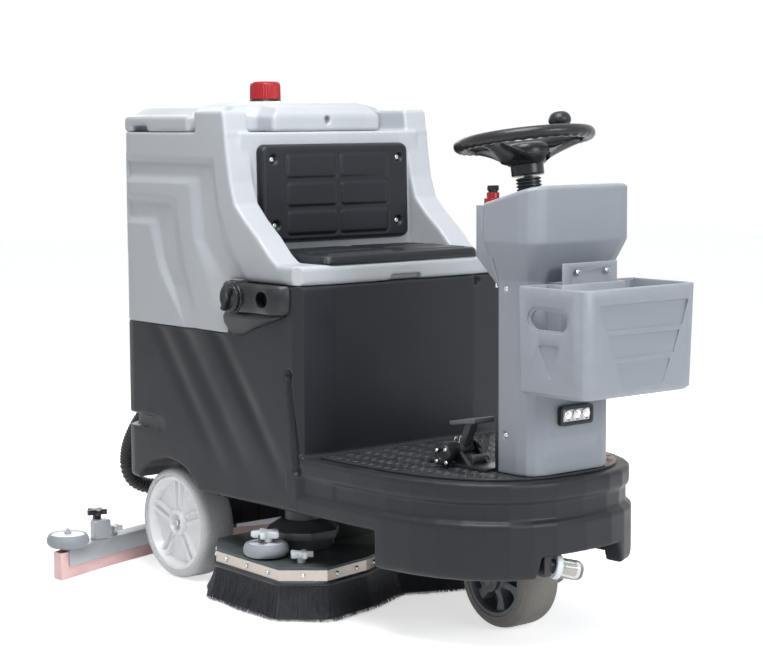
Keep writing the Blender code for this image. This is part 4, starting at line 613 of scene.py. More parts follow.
def extruded(outline, low, high, axis="Z"):
    """A prism on an outline of (u, v) points, along Z, or along X or Y for an upright one."""
    def at(u, v, w):
        return {"Z": (u, v, w), "X": (w, u, v), "Y": (u, w, v)}[axis]
    return skinned("prism", [[at(u, v, w) for u, v in outline] for w in (low, high)])


def block(low, high):
    plan = [(low[0], low[1]), (high[0], low[1]), (high[0], high[1]), (low[0], high[1])]
    return extruded(plan, low[2], high[2])


def rounded_outline(points, radius, steps=6):
    """An outline with its corners rounded."""
    out, n = [], len(points)
    for i in range(n):
        here, before, after = Vector(points[i]), Vector(points[i - 1]), Vector(points[(i + 1) % n])
        a, b = before - here, after - here
        reach = min(radius / math.tan(a.angle(b) / 2), a.length * 0.49, b.length * 0.49)
        start, end = here + a.normalized() * reach, here + b.normalized() * reach
        for k in range(steps + 1):
            t = k / steps
            out.append(tuple(start * (1 - t) ** 2 + here * 2 * t * (1 - t) + end * t * t))
    return out


def stadium(u, v, half_u, half_v, steps=14):
    points = []
    for side in (1, -1):
        for k in range(steps + 1):
            turn = math.pi * (k / steps - 0.5)
            across = half_u - half_v + half_v * math.cos(turn)
            points.append((u + side * across, v + side * half_v * math.sin(turn)))
    return points


def band(outer, inner, low, high, closed=True):
    """A wall between two loops of points, from one height to another."""
    n = len(outer)
    points = [(p[0], p[1], z) for z in (low, high) for loop in (outer, inner) for p in loop]
    faces = []
    for a in range(n if closed else n - 1):
        b = (a + 1) % n
        faces += [(a, b, 2 * n + b, 2 * n + a), (n + b, n + a, 3 * n + a, 3 * n + b), (a, n + a, n + b, b),
                  (2 * n + a, 2 * n + b, 3 * n + b, 3 * n + a)]
    if not closed:
        faces += [(e, 2 * n + e, 3 * n + e, n + e) for e in (0, n - 1)]
    return mesh_of("band", points, faces)


# ---------------------------------------------------------------- mouldings: tank, body, lid, column
CREST = [(0.0, 0.946), (1.0, 0.996), (2.0, 1.055), (3.0, 1.112), (4.0, 1.152)]
FANS = [  # from inside to outside: station of each ridge line at falling heights
    [(-1.064, 0.949), (-1.054, 0.930), (-1.016, 0.841), (-0.911, 0.718), (-0.860, 0.650)],
    [(-0.987, 0.997), (-0.980, 0.960), (-0.966, 0.872), (-0.877, 0.715), (-0.830, 0.640)],
    [(-0.882, 1.058), (-0.876, 1.020), (-0.862, 0.932), (-0.786, 0.699), (-0.700, 0.560)],
    [(-0.786, 1.115), (-0.782, 1.060), (-0.771, 0.925), (-0.663, 0.833), (-0.600, 0.700)],
    [(-0.720, 1.154), (-0.712, 1.090), (-0.695, 1.015), (-0.590, 0.864), (-0.520, 0.700)],
]
SLOT_ENDS = ((ahead(-0.4075), 0.370), (ahead(-0.4355), 0.606))      # Y and Z of the slot's two holes
SHELL_BACK = -0.5727            # Y of the column shell's rear face


def ridge_level(station, z):
    """Which nested ridge a point on the side lies on: 0 is the innermost crest."""
    flat = np.interp(z, [h for _, h in CREST], [k for k, _ in CREST])
    flat = np.where(z < CREST[0][1], (z - CREST[0][1]) / 0.05, flat)
    lines = [np.interp(-z, [-h for _, h in fan], [s for s, _ in fan]) for fan in FANS]
    steep = np.full_like(z, -3.0)
    for k in range(4):
        a, b = lines[k], lines[k + 1]
        t = (station - a) / np.maximum(b - a, 1e-4)
        steep = np.where((t >= 0) & (t < 1), k + t, steep)
    steep = np.where(station >= lines[4], 4.0, steep)
    steep = np.where(station < lines[0], np.maximum((station - lines[0]) / 0.05, -3), steep)
    blend = 0.22
    gap = np.clip(0.5 + 0.5 * (flat - steep) / blend, 0, 1)
    return steep * (1 - gap) + flat * gap + blend * gap * (1 - gap)


def wave(level):
    """Depth of the moulding, 0 on a crest and 1 in a groove."""
    share = np.clip((1 - np.abs(np.clip(level, 0, 4) % 2 - 1) - 0.24) / 0.48, 0, 1)
    return share * share * (3 - 2 * share)


def press_tank(points):
    x, y, z = points.T
    low = np.clip((z - 0.700) / 0.10, 0.15, 1)
    near_side = np.clip((np.abs(x) - (BODY_HALF - 0.010)) / 0.006, 0, 1)
    depth = wave(ridge_level(FRONT_AXLE_Y - y, z)) * low * near_side
    x = x - np.sign(x) * RELIEF * (depth * np.clip((1.19 - z) / 0.03, 0, 1))
    flat = np.interp(z, [h for _, h in CREST], [k for k, _ in CREST])
    rear = np.clip((y - (ahead(BODY_REAR) - 0.010)) / 0.006, 0, 1)
    waist = np.exp(-((z - 0.84) / 0.07) ** 2) * 0.8
    y = y - RELIEF * rear * np.where(z > 0.946, wave(flat), waist)
    return np.stack([*chamfered(x, y, z < 0.885), z], 1)


def chamfered(x, y, where, reach=0.032):
    """Flattens the upright front corners of the seat base and of the tank above it."""
    over = (np.abs(x) - (BODY_HALF - reach)) + ((SEAT_FRONT_Y + reach) - y) - reach
    near = (y < SEAT_FRONT_Y + reach + 0.02) & (y > SEAT_FRONT_Y - 0.004)
    move = np.where(where & (over > 0) & near, over / 2, 0)
    return x - np.sign(x) * move, y + move


def slotted(x, y, z):
    """Presses the slot up the right side of the seat base, with a round hole at each end."""
    (foot_y, foot_z), (head_y, head_z) = SLOT_ENDS
    share = np.clip((z - foot_z) / (head_z - foot_z), 0, 1)
    off = np.abs(y - (foot_y + (head_y - foot_y) * share))
    within = np.where((z > foot_z) & (z < head_z), off - 0.0095, 1.0)
    for end_y, end_z in SLOT_ENDS:
        within = np.minimum(within, np.hypot(y - end_y, z - end_z) - 0.0135)
    press = np.clip(0.5 - within / 0.0035, 0, 1) * (x < -BODY_HALF + 0.022)
    return np.where(press > 0, np.maximum(x, -BODY_HALF + 0.013 * press), x)


def press_body(points):
    """Slanting flutes, the slot, and a shallow finger notch at the top of the front face, on the far side."""
    x, y, z = points.T
    station = FRONT_AXLE_Y - y
    side = np.clip((np.abs(x) - (BODY_HALF - 0.010)) / 0.006, 0, 1) * (station < -0.45)
    fade = np.clip((z - 0.30) / 0.20, 0, 1) * np.clip((0.70 - z) / 0.02, 0, 1)
    for offset, deep, wide in ((-0.030, 0.0080, 0.030), (0.120, 0.0060, 0.040), (0.235, 0.0050, 0.034)):
        line = -0.777 - offset + (0.690 - z) * 0.80
        across = (station - line) / wide
        x = x - np.sign(x) * deep * np.exp(-across ** 2) * side * fade
    x, y = chamfered(x, y, z > 0.412)
    x = slotted(x, y, z)
    notch = np.clip((0.031 - np.abs(x - 0.268)) / 0.004, 0, 1) * np.clip((z - 0.802) / 0.004, 0, 1)
    return np.stack([x, y + 0.012 * (notch * (y < SEAT_FRONT_Y + 0.004)), z], 1)


def press_lid(points):
    """A gentle crown on the lid."""
    x, y, z = points.T
    high = np.clip((z - 1.222) / 0.030, 0, 1)
    along = np.clip((y - 0.235) / 0.08, 0.35, 1) * np.clip((0.725 - y) / 0.10, 0.3, 1)
    return np.stack([x, y, z + 0.0105 * high * (1 - (np.abs(x) / 0.346) ** 4) * along], 1)


def press_column(points):
    """A shallow dent low on the column's front."""
    x, y, z = points.T
    front = np.clip((ahead(0.200) - y) / 0.008, 0, 1)
    slope = np.clip((0.495 - z) / 0.030, 0, 1) * np.clip((z - 0.430) / 0.020, 0, 1)
    side = np.clip((0.100 - np.abs(x)) / 0.016, 0, 1)
    return np.stack([x, y + 0.0050 * front * slope * side, z], 1)


def mirrored(half):
    """An outline from the half of it on one side of the middle plane."""
    return half + [(-x, y) for x, y in reversed(half)]


def ring_wall(low, high, front, thick=0.013):
    """A wall round the rear of the tank, which fills its plain grooves before the relief is pressed."""
    def plan(inset):
        half, rear, r = BODY_HALF - inset, ahead(BODY_REAR) - inset, 0.060 - inset
        turns = [math.pi / 2 * i / 8 for i in range(9)]
        bend = [(half - r + r * math.cos(turn), rear - r + r * math.sin(turn)) for turn in turns]
        return mirrored([(half, ahead(front))] + bend)
    return band(plan(0.0), plan(thick), low, high, closed=False)


def make_basket():
    low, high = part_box("basket")
    half, front, rear, seat_rear = high.x - 0.006, low.y, ahead(0.2215), high.y

    def ring(inset, z, draft=0.0):
        a, b, c, notch = half - inset - draft, front + inset + draft, 0.024, 0.0945 + inset
        right = [(notch, seat_rear - inset), (notch, rear - inset), (a - 0.006, rear - inset),
                 (a, rear - inset - 0.006), (a, b + c), (a - c * 0.28, b + c * 0.28), (a - c, b)]
        return [(x, y, z) for x, y in mirrored(right)]
    rows = [ring(0.006, low.z, 0.006), ring(0.0, low.z + 0.008, 0.0055), ring(0.0, high.z - 0.003),
            ring(0.0012, high.z), ring(0.0100, high.z), ring(0.0112, high.z - 0.003),
            ring(0.0112, low.z + 0.014, 0.0055), ring(0.015, low.z + 0.011, 0.006)]
    bin_ = piece("basket_fine", skinned("bin", rows), "chassis", "mid_plastic")
    cutters = []
    for top, bottom, wide, narrow in ((0.824, 0.766, 0.148, 0.128), (0.754, 0.702, 0.119, 0.100),
                                      (0.690, 0.634, 0.090, 0.066)):
        panel = [(-wide, top), (wide, top), (narrow, bottom), (-narrow, bottom)]
        panel = rounded_outline([(x + 0.012, z) for x, z in panel], 0.004, 3)
        cutters.append(extruded(panel, front - 0.02, front + 0.0072, "Y"))
    dent = rounded_outline([(-0.752, 0.731), (-0.822, 0.731), (-0.792, 0.645)], 0.009, 4)
    frame_, slit = stadium(-0.787, 0.788, 0.066, 0.029), stadium(-0.787, 0.786, 0.058, 0.022)
    for side in (-1, 1):
        for outline, deep in ((dent, 0.0065), (frame_, 0.0045), (slit, 0.03)):
            cutters.append(extruded(outline, *sorted((side * (half - deep), side * (half + 0.02))), "X"))
    carve(bin_, cutters)
    eased(bin_, 0.0013, 2, 30, 24)
    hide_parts("basket")


def squeezed(node, look=None):
    """A refined copy, in which what stands behind the column's shell is brought nearer to it."""
    for vertex in refined(node, 0.0014, 3, look=look).data.vertices:
        if vertex.co.y > SHELL_BACK:
            vertex.co.y = SHELL_BACK + (vertex.co.y - SHELL_BACK) * 0.633


def make_mouldings():
    moulded("recovery_tank", 0.0038, press_tank, 3, [ring_wall(0.885, 1.150, -0.852)])
    backing = [block((-0.3335, -0.195, 0.285), (-0.312, -0.03, 0.374)),
               block((0.312, -0.195, 0.285), (0.3335, -0.03, 0.374))]
    corners = [(-0.2310, -0.6347), (-0.1850, -0.6750), (-0.1785, -0.6675), (-0.2245, -0.6272)]
    for side in (-1, 1):
        backing.append(extruded([(-side * x, y) for x, y in corners][::side], 0.296, 0.374))
    moulded("lower_body", 0.0038, press_body, 4, backing)
    moulded("tank_lid", 0.0034, press_lid, 7)
    moulded("column_shell", 0.0030, press_column, 5)
    make_filler()
    strip = block((-0.1372, -0.5768, 0.4125), (0.1372, -0.5610, 0.846))
    eased(piece("column_seal", strip, "chassis", "black_rubber"), 0.0008, 2, 40)
    flare = mirrored([(-0.134, 0.848), (-0.158, 0.912), (-0.162, 0.945), (-0.162, 1.028)])
    flange = extruded(flare, -0.5740, -0.5640, "Y")
    eased(piece("column_flange", flange, "chassis", "mid_plastic"), 0.0008, 2, 40)
    refined("tank_hinge", 0.0010, 2, look="beam_metal")
    squeezed("column_back", "mid_plastic")
    squeezed("control_panel")
    for node in ("basket_bracket", "headlight_frame", "isolator_base", "isolator_key", "filter_head",
                 "hose_port"):
        refined(node, 0.0014, 3)
    make_basket()
    make_pedal()


def make_filler():
    """The side filler: a flowing black moulding over a swell, and a cap with a grip on a round collar."""
    side_x = -BODY_HALF - 0.0004
    rows = []
    for z, rear, front, out in (
            (0.752, 0.206, -0.020, 0.024), (0.757, 0.214, -0.034, 0.036), (0.768, 0.218, -0.041, 0.0415),
            (0.800, 0.219, -0.043, 0.0425), (0.822, 0.217, -0.041, 0.0415), (0.8285, 0.211, -0.035, 0.036)):
        row = []
        for t in (k / 32 for k in range(33)):
            bulge = min(1.0, min(t, 1 - t) / 0.16) ** 0.5
            waist = 1.0 - 0.20 * math.exp(-((t - 0.62) / 0.16) ** 2) - 0.12 * max(0, (t - 0.7) / 0.3)
            row.append((side_x - out * bulge * waist, rear + (front - rear) * t, z))
        rows.append(row + [(side_x, front, z), (side_x, rear, z)])
    neck = piece("filler_neck_fine", skinned("neck", rows), "chassis", "black_plastic")
    carve(neck, [extruded(stadium(0.026, 0.793, 0.0260, 0.0195), -0.42, -BODY_HALF - 0.008, "X")])
    eased(neck, 0.0026, 3, 40)
    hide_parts("filler_neck")
    rows, turns = [], [math.pi * k / 24 for k in range(25)]
    for z, mid, long, out in ((0.690, 0.175, 0.020, 0.0012), (0.705, 0.168, 0.045, 0.007),
                              (0.722, 0.150, 0.080, 0.016), (0.738, 0.122, 0.108, 0.024),
                              (0.7535, 0.094, 0.122, 0.029)):
        rows.append([(side_x - out * max(0.0, math.sin(turn)) ** 0.75, mid + long * math.cos(turn), z)
                     for turn in turns])
    piece("filler_swell", skinned("swell", rows), "chassis", "charcoal_plastic")
    low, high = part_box("filler_cap")
    cy, cz = (low.y + high.y) / 2, (low.z + high.z) / 2
    profile = [(0.0, 0.0), (0.0425, 0.0), (0.0415, 0.026), (0.0385, 0.0440), (0.0, 0.0442)]
    piece("filler_collar", turned(profile, 0.003, (side_x, cy, cz), OUT_RIGHT), "chassis", "black_plastic")

    def scallop(r, h, turn):
        return r - (0.0012 * (0.5 + 0.5 * math.cos(24 * turn)) if r > 0.034 else 0.0)
    profile = [(0.0, 0.0), (0.038, 0.0), (0.038, 0.008), (0.035, 0.0112), (0.028, 0.0118), (0.025, 0.0095),
               (0.0, 0.0090)]
    stand_in("filler_cap", turned(profile, 0.0015, (high.x, cy, cz), OUT_RIGHT, 96, scallop), "black_plastic")
    rows, where = [], Matrix.Translation((high.x, cy, cz)) @ Matrix.Rotation(math.radians(-62), 4, "X")
    for t in (-1 + 2 * k / 40 for k in range(41)):
        thick = 0.0058 + 0.0030 * t * t
        rise = 0.0212 - 0.0055 * math.exp(-(t / 0.34) ** 2)
        section = ((0.008, -thick), (0.008, thick), (rise, thick * 0.62), (rise, -thick * 0.62))
        rows.append([where @ Vector((-out, t * 0.0345, wide)) for out, wide in section])
    eased(piece("filler_cap_grip", skinned("grip", rows), "cap", "black_plastic"), 0.0016, 3, 30)


def make_pedal():
    """The throttle: a tread pad on an arm, a pair of round housings, a sleeve, pins and bright bolts."""
    refined("pedal_bracket", 0.0014, 3)
    refined("throttle_pedal", 0.0016, 3, look="motor_grey")
    y, z = ahead(-0.035), 0.448
    housings, bolts = [], []
    for x, r, wide in ((-0.176, 0.027, 0.018), (-0.079, 0.022, 0.012)):
        shares = ((0, 0), (1, 0), (1, 0.7), (0.86, 1), (0.5, 1), (0.45, 0.8), (0, 0.8))
        profile = [(a * r, b * wide) for a, b in shares]
        housings.append(turned(profile, 0.0015, (x, y, z - 0.008), OUT_RIGHT, 48))
    for dy, dz in ((-0.017, -0.020), (0.017, -0.020), (-0.014, 0.014), (0.016, 0.010)):
        bolts.append(screw_head((-0.1925, y + dy, z - 0.008 + dz * 0.9), OUT_RIGHT, 0.0052, 0.0045))
    pin = [(0.0, 0.0), (0.0042, 0.0), (0.0042, 0.040), (0.0, 0.0425)]
    for x in (-0.135, -0.118, -0.101):
        bolts.append(turned(pin, 0.0012, (x, y + 0.022, z - 0.012), (0, -0.25, 1), 20))
    sleeve = [(0.0, 0.0), (0.0125, 0.0), (0.0135, 0.006), (0.0135, 0.050), (0.011, 0.056), (0.0, 0.056)]
    piece("pedal_housings", merged(housings), "chassis", "black_plastic")
    piece("pedal_bolts", merged(bolts), "chassis", "bright_steel")
    sleeve = turned(sleeve, 0.002, (-0.128, y - 0.030, 0.4225), ALONG_X, 40)
    piece("pedal_sleeve", sleeve, "chassis", "motor_grey")


# ---------------------------------------------------------------- running gear
def tyre(node, rim, radius, shoulder, corner, steps, look):
    """A tyre on the floor. Its shoulder is points: how far below the tread and in from the side they lie."""
    low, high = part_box(node)
    rim_low, rim_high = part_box(rim)
    half, inner = (high.x - low.x) / 2, (rim_high.z - rim_low.z) / 2 + 0.0004
    side = [(inner, half)] + [(radius - drop, half - inset) for drop, inset in shoulder]
    profile = [(r, -x) for r, x in side] + side[::-1] + [(inner, -half)]
    at = Vector(((low.x + high.x) / 2, (low.y + high.y) / 2, radius))
    stand_in(node, turned(profile, corner, at, ALONG_X, steps, corner_steps=4), look)
    return at, half


def make_wheels():
    shoulder = ((0.010, 0), (0.0025, 0.008), (0, 0.018))
    nut = [(0.0, 0.0), (0.014, 0.0), (0.014, 0.010), (0.009, 0.011), (0.009, 0.018), (0.0, 0.020)]
    for side, name in SIDES:
        at, half = tyre("rear_tyre_" + name, "rear_rim_" + name, 0.150, shoulder, 0.004, 112, "tyre_rubber")
        refined("rear_rim_" + name, 0.0022, 3, 30)
        at.x += side * (half - 0.028)
        mesh = turned(nut, 0.001, at, (side, 0, 0), 6)
        piece("axle_nut_" + name, mesh, "rear_wheel_" + name, "bright_steel", smooth=False)
    shoulder = ((0.016, 0), (0.003, 0.011), (0, 0.024))
    tyre("front_tyre", "front_rim", 0.123, shoulder, 0.005, 96, "dark_tyre")
    make_front_rim()


def make_front_rim():
    """A dark cast rim: a ring, a hub, six spokes that widen outward, and a back plate."""
    low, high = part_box("front_rim")
    c, r, half = (low + high) / 2, (high.z - low.z) / 2, (high.x - low.x) / 2
    ring = [(r - 0.010, -half), (r, -half), (r, half), (r - 0.010, half), (r - 0.014, half - 0.010),
            (r - 0.014, -half + 0.010), (r - 0.010, -half)]
    hub = [(BUSH_R, -half + 0.002), (0.024, -half + 0.002), (0.030, -half + 0.010), (0.034, half - 0.010),
           (0.026, half - 0.002), (BUSH_R, half - 0.002)]
    parts = [turned(ring, 0.002, c, ALONG_X, 96), turned(hub, 0.002, c, ALONG_X, 48)]
    for k in range(6):
        spin = Matrix.Rotation(math.pi / 3 * k + 0.35, 3, "X")
        rows = []
        for reach, wide, face in ((0.026, 0.010, half - 0.008), (0.050, 0.0085, half - 0.016),
                                  (r - 0.012, 0.015, half - 0.012)):
            section = ((-face, -wide), (-face, wide), (-0.006, wide * 1.25), (-0.006, -wide * 1.25))
            rows.append([c + spin @ Vector((x, reach, z)) for x, z in section])
        parts.append(skinned("spoke", rows))
    plate = [(BUSH_R, -0.007), (r - 0.012, -0.007), (r - 0.012, 0.007), (BUSH_R, 0.007)]
    parts.append(lathe(plate, c, ALONG_X, 64))
    rim = piece("front_rim_fine", merged(parts), "front_wheel", "dark_rim")
    eased(rim, 0.0009, 2, 34)
    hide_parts("front_rim")


def make_guard():
    """A ribbed rubber splash guard behind the brush deck, below the battery bay."""
    parts = [block((-0.262, 0.388, 0.150), (0.262, 0.3915, 0.371))]
    for x in (-0.24 + 0.06 * k for k in range(9)):
        parts.append(block((x - 0.003, 0.3845, 0.156), (x + 0.003, 0.389, 0.366)))
    eased(piece("splash_guard", merged(parts), "chassis", "black_rubber"), 0.0009, 2, 34)


HALF_PLAN = [(0.0, -0.039), (-0.16, -0.109), (-0.31, -0.139), (-0.4, -0.059), (-0.38, 0.231), (-0.3, 0.336),
             (-0.15, 0.351), (0.0, 0.271)]
PLAN = HALF_PLAN + [(-x, y) for x, y in reversed(HALF_PLAN[1:-1])]
DECK = [Vector((x, y, 0)) for x, y in reversed(PLAN)]


def grown(distance):
    """The deck's outline moved outward by a distance."""
    moved = []
    for i, here in enumerate(DECK):
        runs = here - DECK[i - 1], DECK[(i + 1) % len(DECK)] - here
        before, after = (Vector((run.y, -run.x, 0)).normalized() for run in runs)
        way = (before + after).normalized()
        moved.append(here + way * distance / max(0.4, way.dot(before)))
    return moved


def edges(distance):
    """The ends of each edge of the grown outline, the way along it and the way out of it."""
    loop = grown(distance)
    for a, b in zip(loop, loop[1:] + loop[:1]):
        run = b - a
        yield a, b, run, Vector((run.y, -run.x, 0)).normalized()


def make_brush_deck():
    refined("deck_plate", 0.0012, 2, 30)
    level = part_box("deck_plate")[0].z
    trim = band(grown(-0.0005), grown(0.0016), level - 0.004, level + 0.0245)
    piece("deck_band", trim, "brush_deck", "band_metal", smooth=False)
    bead, heads = [], []
    for a, b, run, _ in edges(0.0035):
        steps = max(2, int(run.length / 0.02))
        bead += [a.lerp(b, k / steps) for k in range(steps)]
    bead = tube([(p.x, p.y, level - 0.0095) for p in bead], 0.0065, 12, True)
    piece("deck_bead", bead, "brush_deck", "black_rubber")
    for a, b, run, out in edges(0.0016):
        count = max(1, round(run.length / 0.088))
        for k in range(count):
            at = a.lerp(b, (k + 0.5) / count)
            heads.append(screw_head((at.x, at.y, level + 0.0105), out, 0.0062, 0.0046))
    piece("deck_screws", merged(heads), "brush_deck", "bright_steel")
    make_bristles(level - 0.010)
    wheel = ((0, 0), (0.86, 0), (1, 0.28), (1, 0.62), (0.90, 0.95), (0.78, 1), (0.77, 0.9), (0, 0.9))
    disc = ((0, 0.88), (0.77, 0.88), (0.76, 0.96), (0.34, 1), (0, 1))
    for side, name in SIDES:
        refined("gear_motor_" + name, 0.0016, 3, 28)
        top = roller("deck_roller_" + name, wheel, disc)
        grow_about(refined("deck_knob_" + name, 0.0016, 3, 30), 1.25)
        knob = star(top + Vector((0, 0, 0.0015)), 0.039, 0.028)
        piece("roller_star_" + name, knob, "brush_deck", "white_plastic")


def make_bristles(top):
    """Four rows of bristles round the deck that hang from the bead and lean outward, over a dark core."""
    middle = sum(DECK, Vector()) / len(DECK)
    points, faces = [], []
    for row in range(4):
        for a, b, run, out in edges(0.001):
            count, side = int(run.length / 0.00125), run.normalized()
            for k in range(count):
                t = (k + RNG.random()) / count
                root = a.lerp(b, t) + out * (-0.004 * row)
                corner_out = (a - middle).normalized().lerp((b - middle).normalized(), t)
                spread = (out * 0.75 + corner_out * 0.5).normalized()
                clump = noise.noise(Vector((root.x * 26, root.y * 26, row * 3.1)))
                flare = 0.030 + 0.010 * noise.noise(Vector((root.x * 9, root.y * 9, 5)))
                flare += RNG.uniform(-0.003, 0.003)
                drift = side * (0.010 * clump + RNG.uniform(-0.0035, 0.0035))
                foot = 0.0016 + RNG.uniform(0, 0.0035) + (0.002 if row == 3 else 0)
                base = len(points)
                for i, q in enumerate((0.0, 0.35, 0.7, 1.0)):
                    at = root + spread * flare * (0.15 * q + 0.85 * q * q) + drift * q
                    at.z = top + (foot - top) * q
                    w = 0.00055 * (1.0 - 0.45 * i / 3)
                    points += [at - side * w, at + side * w, at + out * w * 1.3]
                for i in range(3):
                    for e in range(3):
                        o, f = base + i * 3, (e + 1) % 3
                        faces.append((o + e, o + f, o + 3 + f, o + 3 + e))
    stand_in("bristle_skirt", plain_mesh("bristles", points, faces), "bristle")
    core = [[(p.x, p.y, z) for p in grown(distance)] for distance, z in ((-0.016, top), (0.012, 0.005))]
    shade = piece("bristle_core", skinned("core", core, caps=False), "brush_deck", "bristle", smooth=False)
    shade.modifiers.new("shell", "SOLIDIFY").thickness = 0.004
    bpy.context.view_layer.update()
    applied(shade)


def roller(node, wheel, disc):
    """A grey roller on an upright bolt with a white disc let into its top, and the point above it.

    The profiles are in shares of its radius and of its height."""
    at, r, tall = upright(node)

    def profile(shares):
        return [(max(BOLT_R, a * r), b * tall) for a, b in shares]
    body = body_of(node)
    stand_in(node, turned(profile(wheel), 0.004, at, corner_steps=4), "roller_grey")
    top = turned(profile(disc), 0.002, at, steps=48)
    piece(node.replace("roller", "roller_disc"), top, body, "white_plastic")
    return at + Vector((0, 0, tall))


def grow_about(obj, factor):
    """Widens a piece in plan about its own middle."""
    middle = sum((v.co for v in obj.data.vertices), Vector()) / len(obj.data.vertices)
    for vertex in obj.data.vertices:
        vertex.co.x = middle.x + (vertex.co.x - middle.x) * factor
        vertex.co.y = middle.y + (vertex.co.y - middle.y) * factor


def make_squeegee():
    refined("squeegee_beam", 0.0014, 3, 28)
    refined("squeegee_arm", 0.0012, 2, 30)
    refined("squeegee_blade", 0.0006, 2, 30)
    wheel = ((0, 0), (0.84, 0), (1, 0.3), (1, 0.66), (0.90, 0.96), (0.82, 1), (0.80, 0.9), (0, 0.9))
    disc = ((0, 0.88), (0.80, 0.88), (0.78, 0.97), (0, 1))
    for side, name in SIDES:
        roller("tip_roller_" + name, wheel, disc)
        grow_about(refined("yoke_knob_" + name, 0.0014, 3, 30), 1.3)
        at = upright("yoke_knob_" + name)[0] - Vector((0, 0, 0.0045))
        washer = turned([(BOLT_R, 0.0), (0.013, 0.0), (0.013, 0.004), (BOLT_R, 0.004)], 0.0008, at, steps=32)
        piece("yoke_washer_" + name, washer, "squeegee", "orange_plastic")


# ---------------------------------------------------------------- seat pads
def tiled_pad(width, height, corner, thick, tiles, pits=(), edge=0.012, crown=0.004, step=0.0035):
    """A foam pad lying on z = 0 with raised tiles: tiles are (u, v, half u, half v)."""
    nu, nv = int(width / step) + 1, int(height / step) + 1
    u, v = np.linspace(-width / 2, width / 2, nu), np.linspace(-height / 2, height / 2, nv)
    gu, gv = np.meshgrid(u, v, indexing="ij")
    cu, cv = width / 2 - corner, height / 2 - corner
    ou, ov = np.maximum(np.abs(gu) - cu, 0), np.maximum(np.abs(gv) - cv, 0)
    reach = np.hypot(ou, ov)
    pull = np.where(reach > corner, corner / np.maximum(reach, 1e-9), 1.0)
    gu = np.where(ou > 0, np.sign(gu) * (cu + ou * pull), gu)
    gv = np.where(ov > 0, np.sign(gv) * (cv + ov * pull), gv)
    ou, ov = np.maximum(np.abs(gu) - cu, 0), np.maximum(np.abs(gv) - cv, 0)
    inside = np.minimum(np.where((ou > 0) | (ov > 0), corner - np.hypot(ou, ov), 1.0),
                        np.minimum(width / 2 - np.abs(gu), height / 2 - np.abs(gv)))
    ease = np.clip(inside / edge, 0, 1)
    top = thick * (0.30 + 0.70 * np.sqrt(1 - (1 - ease) ** 2))
    top += crown * (1 - (2 * gu / width) ** 2) * (1 - (2 * gv / height) ** 2)
    r = 0.010
    for tu, tv, hu, hv in tiles:
        du, dv = np.maximum(np.abs(gu - tu) - hu + r, 0), np.maximum(np.abs(gv - tv) - hv + r, 0)
        gap = r - np.hypot(du, dv)
        gap = np.minimum(gap, np.minimum(hu - np.abs(gu - tu), hv - np.abs(gv - tv)))
        rise = np.clip(gap / 0.007, 0, 1)
        top += 0.0026 * rise * rise * (3 - 2 * rise)
        top -= 0.0016 * np.exp(-(gap / 0.0035) ** 2)
    for pu, pv in pits:
        away = np.hypot(gu - pu, gv - pv)
        top -= 0.011 * np.clip((0.0125 - away) / 0.003, 0, 1)
    points = np.stack([gu, gv, np.maximum(top, 0.002)], -1).reshape(-1, 3).tolist()
    faces = [(i * nv + j, (i + 1) * nv + j, (i + 1) * nv + j + 1, i * nv + j + 1)
             for i in range(nu - 1) for j in range(nv - 1)]
    rim = [i * nv for i in range(nu)] + [(nu - 1) * nv + j for j in range(1, nv)]
    rim += [i * nv + nv - 1 for i in range(nu - 2, -1, -1)] + [j for j in range(nv - 2, 0, -1)]
    base, m = len(points), len(rim)
    points += [(points[k][0], points[k][1], 0.0) for k in rim]
    faces += [(rim[i], rim[(i + 1) % m], base + (i + 1) % m, base + i) for i in range(m)]
    faces.append(tuple(base + i for i in range(m))[::-1])
    return mesh_of("pad", points, faces)


def make_pads():
    low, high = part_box("seat_pad")
    wide, long, tall = high - low
    tiles = [(sx * 0.127, sy * 0.082, 0.110, 0.034) for sx in (-1, 1) for sy in (-1, 0, 1)]
    mesh = tiled_pad(wide, long, 0.030, tall - 0.004, tiles)
    mesh.transform(Matrix.Translation(((low.x + high.x) / 2, (low.y + high.y) / 2, low.z)))
    stand_in("seat_pad", mesh, "pad_foam")

    low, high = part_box("backrest_pad")
    screws = [(-0.213, 0.089), (0.213, 0.089), (-0.208, -0.082), (0.208, -0.082)]
    tiles = [(sx * 0.089, row, 0.083, 0.0325) for sx in (-1, 1) for row in (0.071, -0.003, -0.077)]
    mesh = tiled_pad(high.x - low.x, high.z - low.z, 0.022, 0.0225, tiles, screws)
    upright_turn = Matrix.Rotation(-0.022, 4, "X") @ Matrix.Rotation(math.radians(90), 4, "X")
    put = Matrix.Translation((0, high.y - 0.0028, (low.z + high.z) / 2)) @ upright_turn
    mesh.transform(put)
    stand_in("backrest_pad", mesh, "pad_foam")
    out = put.to_3x3() @ Vector(UP)
    heads = [screw_head(put @ Vector((u, v, 0.0125)), out, 0.0075, 0.004) for u, v in screws]
    piece("backrest_screws", merged(heads), "tank", "bright_steel")


# ---------------------------------------------------------------- steering wheel, column fittings
STEER = Vector((0, math.sin(math.radians(9)), math.cos(math.radians(9))))


